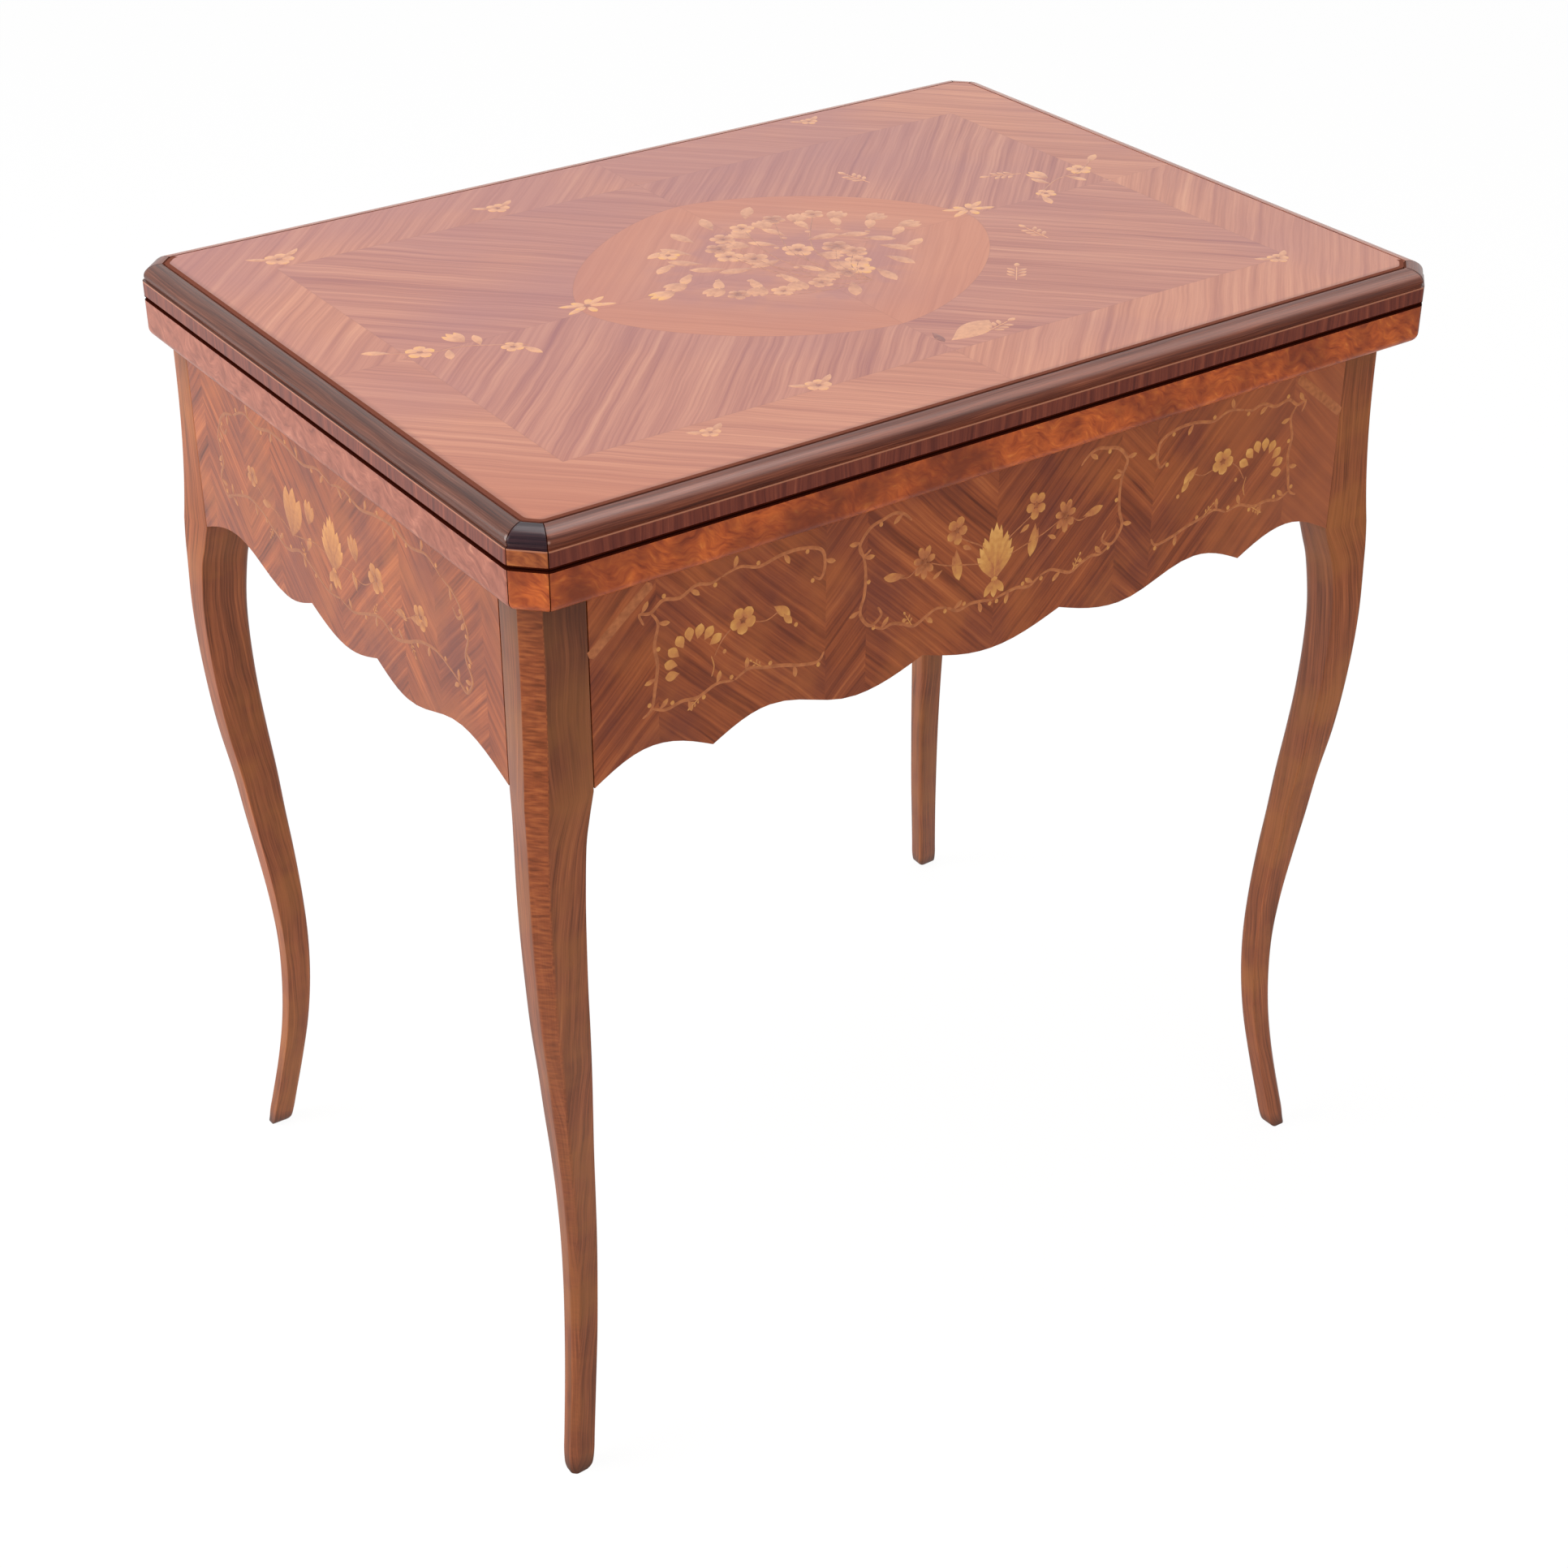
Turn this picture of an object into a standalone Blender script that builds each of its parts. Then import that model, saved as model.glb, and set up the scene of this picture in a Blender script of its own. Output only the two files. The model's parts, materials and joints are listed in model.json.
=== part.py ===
"""Folding card table: cabriole legs, scalloped aprons and a swivelling top of two hinged leaves.

Metres, +Z up. The origin is on the floor under the middle of the closed top. X runs along the
long side, and +Y is the back, where the two leaves are hinged. The top is modelled closed.
"""
import math

import bmesh
import bpy
from mathutils import Matrix

# Whole table
TABLE_HEIGHT = 0.760
TOP_LENGTH = 0.740
TOP_DEPTH = 0.535
TOP_OVERHANG = 0.018  # from the frame's outer faces to the edge of the leaves, on average
FRAME_SHIFT_X = -0.004  # the closed top doesn't lie quite over the middle of its frame
FRAME_SHIFT_Y = 0.0045

# Clearances
SEAT_GAP = 0.0003  # between faces that rest or slide on each other
PARTING_GAP = 0.0012  # between the two closed leaves
CUT_OVERRUN = 0.002  # how far a cutter reaches past the face that it opens
ROUND_SIDES = 24
FINE_SIDES = 12

# Leaves of the top
UPPER_THICKNESS = 0.0232
LOWER_THICKNESS = 0.0280  # the one that carries the pivot plate
LEAF_CANT = 0.018  # how far the cut corners run along each edge
LEAF_ARRIS_RADIUS = 0.006  # rounding of the upright edges between the long sides and the cants
ARRIS_STEPS = 4
LIPPING_WIDTH = 0.015  # edge pieces of both leaves
LIPPING_ROUND = 0.007  # lower outer edge of the lower leaf
LIPPING_EASE = 0.0008  # small flat on the edges beside the parting line
ROUND_STEPS = 4
FIELD_THICKNESS = 0.0025
BAIZE_BORDER = 0.050  # veneered margin round the baize on the playing faces
BAIZE_CORNER_RADIUS = 0.020
BAIZE_THICKNESS = 0.0010

# Moulding round the upper leaf, as heights above its lower face and insets from its edge
BAND_HEIGHT = 0.0120
FILLET_INSET = 0.0016
FILLET_SLOPE = 0.0005
ROLL_LOW = 0.0147
ROLL_INSET = 0.0010
ROLL_STEPS = 7
QUIRK_WIDTH = 0.0014
QUIRK_DEPTH = 0.0011

# Legs
LEG_FRONT_WIDTH = 0.041  # along the long side of the table
LEG_SIDE_WIDTH = 0.033  # along the short side
LEG_CANT = 0.011
LEG_ARRIS = 0.0008
LEG_INNER_RADIUS = 0.007
LEG_SWEEP = 0.0246  # how far the ankle lies inside the line of the cant
LEG_SWELL = 0.0078  # how far the cant stands out at the knee
SWELL_POWER_SHARE = 2.5  # the cant leaves the upright slowly, then faster
STILE_STEPS = 6
LEG_STEPS = 2
# Each row: height as a share of the shoulder's, shift out as a share of the sweep, the section's
# depth and width as shares of the stile's, along and across the diagonal, and the cant's swelling.
LEG_LINE_SHARES = (
    (1.000, 0.00, 1.000, 1.000, 1.00),
    (0.970, 0.18, 1.000, 0.925, 0.60),
    (0.938, 0.36, 1.000, 0.870, 0.12),
    (0.876, 0.44, 0.940, 0.838, 0.00),
    (0.815, 0.40, 0.900, 0.812, 0.00),
    (0.744, 0.27, 0.867, 0.777, 0.00),
    (0.682, 0.09, 0.840, 0.748, 0.00),
    (0.613, -0.20, 0.775, 0.690, 0.00),
    (0.545, -0.42, 0.728, 0.630, 0.00),
    (0.482, -0.64, 0.685, 0.568, 0.00),
    (0.409, -0.87, 0.620, 0.520, 0.00),
    (0.337, -1.00, 0.567, 0.487, 0.00),
    (0.266, -0.97, 0.535, 0.464, 0.00),
    (0.195, -0.82, 0.497, 0.450, 0.00),
    (0.124, -0.54, 0.463, 0.432, 0.00),
    (0.053, -0.17, 0.456, 0.423, 0.00),
    (0.026, -0.02, 0.458, 0.423, 0.00),
    (0.009, 0.05, 0.430, 0.396, 0.00),
    (0.000, 0.10, 0.300, 0.280, 0.00),
)

# Aprons
APRON_THICKNESS = 0.018
APRON_DEPTH = 0.1405  # from the frame's top to the lowest bulge
SCALLOP_HEIGHT = 0.016
SCALLOP_STEPS = 6
SHOULDER_DROP = 0.002  # the stile runs this far below the apron before it narrows
# Each mark, from the middle out: place along half the apron, rise as a share of the scallop
# height, and 1 where the edge turns smoothly or 0 where it comes to a point.
LONG_SCALLOP_SHARES = (
    (0.0, 0.0, 1),
    (0.187, 0.81, 0),
    (0.360, 0.02, 1),
    (0.579, 1.0, 1),
    (0.719, 0.10, 0),
    (0.862, 1.0, 1),
    (1.0, 0.0, 0),
)
SHORT_SCALLOP_SHARES = (
    (0.0, 0.0, 1),
    (0.217, 0.72, 0),
    (0.402, 0.0, 1),
    (0.739, 0.97, 1),
    (1.0, 0.0, 0),
)
TENON_THICKNESS = 0.008
TENON_INSET = 0.0055  # from the apron's outer face
TENON_LENGTH = 0.014
TENON_HEIGHT = 0.070
TENON_DROP = 0.014  # from the frame's top to the tenon's upper edge

# Corner blocks
BLOCK_REACH = 0.030  # along each apron, past the leg's stile
BLOCK_HEIGHT = 0.040
BLOCK_RISE = 0.024  # above the aprons' lowest bulge

# Pivot rail and what turns in it
RAIL_WIDTH = 0.120
RAIL_THICKNESS = 0.020
PLATE_SIZE = 0.070
PLATE_THICKNESS = 0.003
PLATE_CHAMFER = 0.008
STUD_RADIUS = 0.0065
STUD_TAIL = 0.003  # below the nut
WASHER_RADIUS = 0.015
WASHER_THICKNESS = 0.002
NUT_RADIUS = 0.0125
NUT_THICKNESS = 0.009
PEG_RADIUS = 0.005
PEG_DROP = 0.014  # below the lower leaf
PEG_SOCKET = 0.010  # inside the lower leaf
PEG_CHAMFER = 0.0015

# Card well
WELL_DEPTH = 0.052
WELL_BOTTOM_THICKNESS = 0.006
DIVIDER_THICKNESS = 0.010
DIVIDER_HEIGHT = 0.085
CLEAT_SIZE = 0.014
LINING_THICKNESS = 0.0012
LINING_MARGIN = 0.0008

# Hinges
HINGE_INSET = 0.135  # from each end of the back edge to the hinge's middle
HINGE_LENGTH = 0.042
HINGE_PLATE_WIDTH = 0.0115  # within the width of the lippings
HINGE_PLATE_THICKNESS = 0.0016
KNUCKLE_RADIUS = 0.0026
PIN_RADIUS = 0.0012
HINGE_PIN_HEAD = 0.0020
HINGE_PIN_HEAD_RADIUS = 0.0020
HINGE_SETBACK = 0.0003  # the pin's axis behind the leaves' back edge

# Heights that follow
UPPER_HIGH = TABLE_HEIGHT
UPPER_LOW = UPPER_HIGH - UPPER_THICKNESS
LOWER_HIGH = UPPER_LOW - PARTING_GAP
LOWER_LOW = LOWER_HIGH - LOWER_THICKNESS
FRAME_HIGH = LOWER_LOW - SEAT_GAP
APRON_LOW = FRAME_HIGH - APRON_DEPTH
SHOULDER_HIGH = APRON_LOW - SHOULDER_DROP
WELL_FLOOR = FRAME_HIGH - WELL_DEPTH
RAIL_LOW = FRAME_HIGH - RAIL_THICKNESS
PARTING_MIDDLE = (UPPER_LOW + LOWER_HIGH) / 2

# Plan places that follow
FRAME_LENGTH = TOP_LENGTH - 2 * TOP_OVERHANG
FRAME_DEPTH = TOP_DEPTH - 2 * TOP_OVERHANG
HALF_LENGTH = FRAME_LENGTH / 2
HALF_DEPTH = FRAME_DEPTH / 2
INNER_LENGTH = HALF_LENGTH - APRON_THICKNESS - SEAT_GAP
INNER_DEPTH = HALF_DEPTH - APRON_THICKNESS - SEAT_GAP
# A quarter turn about this point lays the opened leaves over the middle of the frame.
PIVOT_X = TOP_DEPTH / 4 + (FRAME_SHIFT_X - FRAME_SHIFT_Y) / 2
PIVOT_Y = TOP_DEPTH / 4 + (FRAME_SHIFT_X + FRAME_SHIFT_Y) / 2
HINGE_AXIS = TOP_DEPTH / 2 + HINGE_SETBACK
HINGE_PLACE = TOP_LENGTH / 2 - HINGE_INSET
# The peg meets the rail's side half a quarter turn before and after it passes square to it.
STOP_OFFSET = RAIL_WIDTH / 2 + PEG_RADIUS + SEAT_GAP

ROOT_TWO = math.sqrt(2)
CANT_ANGLE = math.radians(45)


def finish(name, colour, roughness, metallic=0.0):
    """A plain surface of one colour."""
    material = bpy.data.materials.new(name)
    material.use_nodes = True
    shader = material.node_tree.nodes["Principled BSDF"]
    shader.inputs["Base Color"].default_value = (*colour, 1.0)
    shader.inputs["Roughness"].default_value = roughness
    shader.inputs["Metallic"].default_value = metallic
    material.diffuse_color = (*colour, 1.0)
    return material


def pivot_frame(name, place, parent=None):
    """An empty that carries the pieces of one moving body; its place is on the joint's axis."""
    empty = bpy.data.objects.new(name, None)
    bpy.context.collection.objects.link(empty)
    carry(empty, parent)
    empty.location = place
    empty["place"] = place
    return empty


def carry(piece, parent):
    """Parent a piece to a body's empty without moving it."""
    if parent is None:
        return
    piece.parent = parent
    piece.matrix_parent_inverse = Matrix.Translation([-value for value in parent["place"]])


def settle(name, bm, material=None, parent=None):
    """Turn a finished bmesh into an object with outward faces and crisp edges."""
    bmesh.ops.recalc_face_normals(bm, faces=bm.faces)
    mesh = bpy.data.meshes.new(name)
    bm.to_mesh(mesh)
    bm.free()
    mesh.shade_smooth()
    mesh.set_sharp_from_angle(angle=math.radians(30))
    piece = bpy.data.objects.new(name, mesh)
    bpy.context.collection.objects.link(piece)
    if material is not None:
        mesh.materials.append(material)
    carry(piece, parent)
    return piece


def prism(name, outline, low, high, material=None, parent=None):
    """An outline in plan, raised from one height to another."""
    bm = bmesh.new()
    base = bm.faces.new([bm.verts.new((x, y, low)) for x, y in outline])
    raised = bmesh.ops.extrude_face_region(bm, geom=[base])["geom"]
    top = [item for item in raised if isinstance(item, bmesh.types.BMVert)]
    bmesh.ops.translate(bm, verts=top, vec=(0, 0, high - low))
    return settle(name, bm, material, parent)


def box(name, low, high, material=None, parent=None):
    """A block between two opposite corners."""
    outline = [(low[0], low[1]), (high[0], low[1]), (high[0], high[1]), (low[0], high[1])]
    return prism(name, outline, low[2], high[2], material, parent)


def circle(centre, radius, sides=ROUND_SIDES):
    """Points round a circle in plan."""
    turns = [2 * math.pi * step / sides for step in range(sides)]
    return [(centre[0] + radius * math.cos(t), centre[1] + radius * math.sin(t)) for t in turns]


def rod_along_x(name, radius, low_x, high_x, y, z, material=None, parent=None):
    """A round rod parallel to X."""
    bm = bmesh.new()
    ring = circle((y, z), radius, FINE_SIDES)
    base = bm.faces.new([bm.verts.new((low_x, a, b)) for a, b in ring])
    raised = bmesh.ops.extrude_face_region(bm, geom=[base])["geom"]
    far = [item for item in raised if isinstance(item, bmesh.types.BMVert)]
    bmesh.ops.translate(bm, verts=far, vec=(high_x - low_x, 0, 0))
    return settle(name, bm, material, parent)


def loft(name, rings, material=None, parent=None):
    """A skin over rings of points, closed with a flat face at each end."""
    bm = bmesh.new()
    loops = [[bm.verts.new(point) for point in ring] for ring in rings]
    for first, second in zip(loops, loops[1:]):
        for index in range(len(first)):
            after = (index + 1) % len(first)
            bm.faces.new((first[index], first[after], second[after], second[index]))
    bm.faces.new(loops[0])
    bm.faces.new(loops[-1])
    return settle(name, bm, material, parent)


def work(piece, tool, operation="DIFFERENCE"):
    """Cut a tool out of a piece, or join it on with UNION; the tool itself stays hidden."""
    tool.hide_render = True
    tool.display_type = "WIRE"
    step = piece.modifiers.new(tool.name, "BOOLEAN")
    step.operation = operation
    step.object = tool


def place(piece, location, turn):
    """Stand a piece that was drawn at the origin in its place, turned about the vertical."""
    piece.location = location
    piece.rotation_euler = (0, 0, turn)


def smooth_rows(rows, steps):
    """Rows of values with more rows between them, on one Catmull-Rom curve through them all."""
    padded = [rows[0], *rows, rows[-1]]
    smooth = []
    for a, b, c, d in zip(padded, padded[1:], padded[2:], padded[3:]):
        for step in range(steps):
            t = step / steps
            row = []
            for p, q, r, s in zip(a, b, c, d):
                linear = t * (r - p) / 2
                square = t ** 2 * (p - 2.5 * q + 2 * r - s / 2)
                cubic = t ** 3 * (3 * q - p - 3 * r + s) / 2
                row.append(q + linear + square + cubic)
            smooth.append(row)
    smooth.append(list(rows[-1]))
    return smooth


# Legs

def from_corner(side_x, side_y, in_x, in_y):
    """A place in plan, given by two distances in from one of the frame's corners."""
    x = FRAME_SHIFT_X + side_x * (HALF_LENGTH - in_x)
    y = FRAME_SHIFT_Y + side_y * (HALF_DEPTH - in_y)
    return x, y


def stile_plan():
    """Plan of a leg's upper part as distances in from the frame's corner, which is canted.

    Each point's last value is the share of the swelling at the knee that it takes.
    """
    turns = [math.pi / 2 * step / ROUND_STEPS for step in range(ROUND_STEPS + 1)]
    rounded = [
        (
            LEG_FRONT_WIDTH - LEG_INNER_RADIUS * (1 - math.cos(t)),
            LEG_SIDE_WIDTH - LEG_INNER_RADIUS * (1 - math.sin(t)),
            0,
        )
        for t in turns
    ]
    return [
        (LEG_CANT, 0, 1),
        (LEG_FRONT_WIDTH - LEG_ARRIS, 0, 0),
        (LEG_FRONT_WIDTH, LEG_ARRIS, 0),
        *rounded,
        (LEG_ARRIS, LEG_SIDE_WIDTH, 0),
        (0, LEG_SIDE_WIDTH - LEG_ARRIS, 0),
        (0, LEG_CANT, 1),
    ]


def leg_ring(height, out, deep, wide, swell, side_x, side_y):
    """The stile's plan, scaled along and across the corner's diagonal and shifted out along it."""
    ring = []
    for along_x, along_y, share in stile_plan():
        inward = (along_x + along_y - LEG_CANT) / ROOT_TWO * deep + LEG_CANT / ROOT_TWO
        inward -= out * LEG_SWEEP + share * swell * LEG_SWELL
        across = (along_x - along_y) / ROOT_TWO * wide
        place = from_corner(side_x, side_y, (inward + across) / ROOT_TWO, (inward - across) / ROOT_TWO)
        ring.append((*place, height))
    return ring


def make_leg(name, side_x, side_y):
    """One cabriole leg with its stile and the two mortises for the aprons' tenons."""
    rings = []
    for step in range(STILE_STEPS):
        down = step / STILE_STEPS
        height = FRAME_HIGH + (SHOULDER_HIGH - FRAME_HIGH) * down
        rings.append(leg_ring(height, 0, 1, 1, down ** SWELL_POWER_SHARE, side_x, side_y))
    for share, *line in smooth_rows(LEG_LINE_SHARES, LEG_STEPS):
        rings.append(leg_ring(share * SHOULDER_HIGH, *line, side_x, side_y))
    leg = loft(name, rings, WALNUT, BASE)
    low = FRAME_HIGH - TENON_DROP - TENON_HEIGHT - SEAT_GAP
    high = FRAME_HIGH - TENON_DROP + SEAT_GAP
    near = TENON_INSET - SEAT_GAP
    far = TENON_INSET + TENON_THICKNESS + SEAT_GAP
    reach_x = (LEG_FRONT_WIDTH - TENON_LENGTH - SEAT_GAP, LEG_FRONT_WIDTH + CUT_OVERRUN)
    reach_y = (LEG_SIDE_WIDTH - TENON_LENGTH - SEAT_GAP, LEG_SIDE_WIDTH + CUT_OVERRUN)
    for label, span_x, span_y in (("long", reach_x, (near, far)), ("short", (near, far), reach_y)):
        ends = [from_corner(side_x, side_y, in_x, in_y) for in_x, in_y in zip(span_x, span_y)]
        xs, ys = [sorted(values) for values in zip(*ends)]
        work(leg, box(f"{name}_mortise_{label}", (xs[0], ys[0], low), (xs[1], ys[1], high)))
    return leg


# Aprons

def scallop(marks, half):
    """Lower edge of an apron from its middle to its end, as distances and rises over the lowest bulge."""
    points = []
    for start, end in zip(marks, marks[1:]):
        for step in range(SCALLOP_STEPS):
            t = step / SCALLOP_STEPS
            if start[2] and end[2]:
                ease = (1 - math.cos(math.pi * t)) / 2
            elif start[2]:
                ease = 1 - math.cos(math.pi * t / 2)
            else:
                ease = math.sin(math.pi * t / 2)
            points.append((start[0] + (end[0] - start[0]) * t, start[1] + (end[1] - start[1]) * ease))
    points.append(marks[-1][:2])
    return [(along * half, APRON_LOW + rise * SCALLOP_HEIGHT) for along, rise in points]


def make_apron(name, marks, half, location, turn):
    """One apron: a board with a scalloped lower edge, flush with the legs, and a tenon at each end."""
    right = scallop(marks, half)
    left = [(-x, z) for x, z in reversed(right[1:])]
    outline = [*left, *right, (half, FRAME_HIGH), (-half, FRAME_HIGH)]
    bm = bmesh.new()
    face = bm.faces.new([bm.verts.new((x, 0, z)) for x, z in outline])
    raised = bmesh.ops.extrude_face_region(bm, geom=[face])["geom"]
    back = [item for item in raised if isinstance(item, bmesh.types.BMVert)]
    bmesh.ops.translate(bm, verts=back, vec=(0, APRON_THICKNESS, 0))
    apron = settle(name, bm, ROSEWOOD, BASE)
    place(apron, location, turn)
    for label, side in (("left", -1), ("right", 1)):
        xs = sorted((side * (half - CUT_OVERRUN), side * (half + TENON_LENGTH)))
        tenon = box(
            f"{name}_tenon_{label}",
            (xs[0], TENON_INSET, FRAME_HIGH - TENON_DROP - TENON_HEIGHT),
            (xs[1], TENON_INSET + TENON_THICKNESS, FRAME_HIGH - TENON_DROP),
        )
        place(tenon, location, turn)
        work(apron, tenon, "UNION")
    return apron


def make_corner_block(name, side_x, side_y):
    """A glue block in the angle behind a leg, notched round the stile."""
    near = APRON_THICKNESS + SEAT_GAP
    stile_x = LEG_FRONT_WIDTH + SEAT_GAP
    stile_y = LEG_SIDE_WIDTH + SEAT_GAP
    plan = [
        (stile_x, near),
        (stile_x + BLOCK_REACH, near),
        (near, stile_y + BLOCK_REACH),
        (near, stile_y),
        (stile_x, stile_y),
    ]
    outline = [from_corner(side_x, side_y, x, y) for x, y in plan]
    low = APRON_LOW + BLOCK_RISE
    return prism(name, outline, low, low + BLOCK_HEIGHT, PINE, BASE)


# Pivot rail, card well

def make_rail():
    """The bearer that the top turns on, from the front apron to the back one."""
    rail = box(
        "pivot_rail",
        (PIVOT_X - RAIL_WIDTH / 2, FRAME_SHIFT_Y - INNER_DEPTH, RAIL_LOW),
        (PIVOT_X + RAIL_WIDTH / 2, FRAME_SHIFT_Y + INNER_DEPTH, FRAME_HIGH),
        PINE,
        BASE,
    )
    bore = circle((PIVOT_X, PIVOT_Y), STUD_RADIUS + SEAT_GAP)
    work(rail, prism("pivot_rail_bore", bore, RAIL_LOW - CUT_OVERRUN, FRAME_HIGH + CUT_OVERRUN))


def make_well():
    """The card well in the frame's left half: divider, bottom, the cleats under it and its lining."""
    front = FRAME_SHIFT_Y - INNER_DEPTH
    back = FRAME_SHIFT_Y + INNER_DEPTH
    left = FRAME_SHIFT_X - INNER_LENGTH
    right = FRAME_SHIFT_X - SEAT_GAP
    stile_x, stile_front = from_corner(-1, -1, LEG_FRONT_WIDTH + SEAT_GAP, LEG_SIDE_WIDTH + SEAT_GAP)
    stile_back = 2 * FRAME_SHIFT_Y - stile_front
    divider_low = (FRAME_SHIFT_X, front, FRAME_HIGH - DIVIDER_HEIGHT)
    box("well_divider", divider_low, (FRAME_SHIFT_X + DIVIDER_THICKNESS, back, FRAME_HIGH), PINE, BASE)

    def well_plan(margin):
        """Outline of the well inside the aprons, the two stiles and the divider."""
        return [
            (right - margin, back - margin),
            (stile_x + margin, back - margin),
            (stile_x + margin, stile_back - margin),
            (left + margin, stile_back - margin),
            (left + margin, stile_front + margin),
            (stile_x + margin, stile_front + margin),
            (stile_x + margin, front + margin),
            (right - margin, front + margin),
        ]

    floor_low = WELL_FLOOR - WELL_BOTTOM_THICKNESS
    prism("well_bottom", well_plan(0), floor_low, WELL_FLOOR, PINE, BASE)
    lining_low = WELL_FLOOR + SEAT_GAP
    prism("well_lining", well_plan(LINING_MARGIN), lining_low, lining_low + LINING_THICKNESS, BAIZE, BASE)
    cleat_high = floor_low - SEAT_GAP
    cleat_low = cleat_high - CLEAT_SIZE
    clear = CLEAT_SIZE + SEAT_GAP
    for label, xs, ys in (
        ("front", (stile_x, right), (front, front + CLEAT_SIZE)),
        ("back", (stile_x, right), (back - CLEAT_SIZE, back)),
        ("left", (left, left + CLEAT_SIZE), (stile_front, stile_back)),
        ("divider", (right - CLEAT_SIZE, right), (front + clear, back - clear)),
    ):
        box(f"well_cleat_{label}", (xs[0], ys[0], cleat_low), (xs[1], ys[1], cleat_high), PINE, BASE)


# Leaves of the top

def canted_corners(inset):
    """The eight corners of the leaf's outline, drawn in by an inset, anticlockwise."""
    x = TOP_LENGTH / 2 - inset
    y = TOP_DEPTH / 2 - inset
    cut = LEAF_CANT - inset * (2 - ROOT_TWO)
    return [
        (-x + cut, -y), (x - cut, -y), (x, -y + cut), (x, y - cut),
        (x - cut, y), (-x + cut, y), (-x, y - cut), (-x, -y + cut),
    ]


def arris_offset(corner, share, shift=0.0):
    """From a corner to a point on the arc that rounds it; share 0 to 1 runs along the arc.

    A shift moves the point along the arc's middle tangent, to open a joint there.
    """
    heading = (corner - 1) * CANT_ANGLE
    tangent = LEAF_ARRIS_RADIUS * math.tan(CANT_ANGLE / 2)
    turn = heading + share * CANT_ANGLE
    x = LEAF_ARRIS_RADIUS * (math.sin(turn) - math.sin(heading)) - tangent * math.cos(heading)
    y = LEAF_ARRIS_RADIUS * (math.cos(heading) - math.cos(turn)) - tangent * math.sin(heading)
    middle = heading + CANT_ANGLE / 2
    return x + shift * math.cos(middle), y + shift * math.sin(middle)


def canted_outline(inset):
    """The leaf's whole outline with rounded corners, drawn in by an inset."""
    outline = []
    for corner, (x, y) in enumerate(canted_corners(inset)):
        for step in range(ARRIS_STEPS + 1):
            dx, dy = arris_offset(corner, step / ARRIS_STEPS)
            outline.append((x + dx, y + dy))
    return outline


def rounded_rectangle(half_x, half_y, radius):
    """A rectangle in plan with quarter-round corners."""
    outline = []
    for quarter, (sx, sy) in enumerate(((1, 1), (-1, 1), (-1, -1), (1, -1))):
        for step in range(ROUND_STEPS + 1):
            turn = (quarter + step / ROUND_STEPS) * math.pi / 2
            x = sx * (half_x - radius) + radius * math.cos(turn)
            y = sy * (half_y - radius) + radius * math.sin(turn)
            outline.append((x, y))
    return outline


def edge_piece(name, edge, profile, base_height, material, parent):
    """One of the eight edge pieces: a profile carried from the middle of one corner to the next."""
    rings = []
    half = ARRIS_STEPS // 2
    start_steps = [half + step for step in range(half + 1)]
    end_steps = list(range(half + 1))
    for corner, steps, joint_step, way in (
        (edge, start_steps, half, 1),
        ((edge + 1) % 8, end_steps, half, -1),
    ):
        for step in steps:
            shift = way * SEAT_GAP / 2 if step == joint_step else 0
            dx, dy = arris_offset(corner, step / ARRIS_STEPS, shift)
            ring = []
            for inset, height in profile:
                x, y = canted_corners(inset)[corner]
                ring.append((x + dx, y + dy, base_height + height))
            rings.append(ring)
    return loft(name, rings, material, parent)


EDGE_NAMES = (
    "front", "cant_front_right", "right", "cant_back_right",
    "back", "cant_back_left", "left", "cant_front_left",
)


def lipping_profile():
    """Section of the lower leaf's edge pieces: a rounded lower edge and an eased upper one."""
    turns = [math.pi / 2 * step / ROUND_STEPS for step in range(ROUND_STEPS + 1)]
    rounded = [(LIPPING_ROUND * (1 - math.sin(t)), LIPPING_ROUND * (1 - math.cos(t))) for t in turns]
    return [
        (LIPPING_WIDTH, 0),
        *rounded,
        (0, LOWER_THICKNESS - LIPPING_EASE),
        (LIPPING_EASE, LOWER_THICKNESS),
        (LIPPING_WIDTH, LOWER_THICKNESS),
    ]


def moulding_profile():
    """Section of the upper leaf's edge pieces: a flat band, a fillet, a roll and a quirk at the field."""
    roll_end = LIPPING_WIDTH - QUIRK_WIDTH
    turns = [math.pi / 2 * step / ROLL_STEPS for step in range(ROLL_STEPS + 1)]
    roll = [
        (
            roll_end - (roll_end - ROLL_INSET) * math.cos(t),
            ROLL_LOW + (UPPER_THICKNESS - SEAT_GAP - ROLL_LOW) * math.sin(t),
        )
        for t in turns
    ]
    return [
        (LIPPING_WIDTH, 0),
        (LIPPING_EASE, 0),
        (0, LIPPING_EASE),
        (0, BAND_HEIGHT),
        (FILLET_INSET, BAND_HEIGHT + FILLET_SLOPE),
        (FILLET_INSET, ROLL_LOW),
        *roll,
        (roll_end, UPPER_THICKNESS - QUIRK_DEPTH),
        (LIPPING_WIDTH, UPPER_THICKNESS - QUIRK_DEPTH),
    ]


def baize_plan(margin):
    """Outline of the baize, or of its recess where the margin is wider."""
    return rounded_rectangle(
        TOP_LENGTH / 2 - BAIZE_BORDER + margin,
        TOP_DEPTH / 2 - BAIZE_BORDER + margin,
        BAIZE_CORNER_RADIUS + margin,
    )


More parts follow.
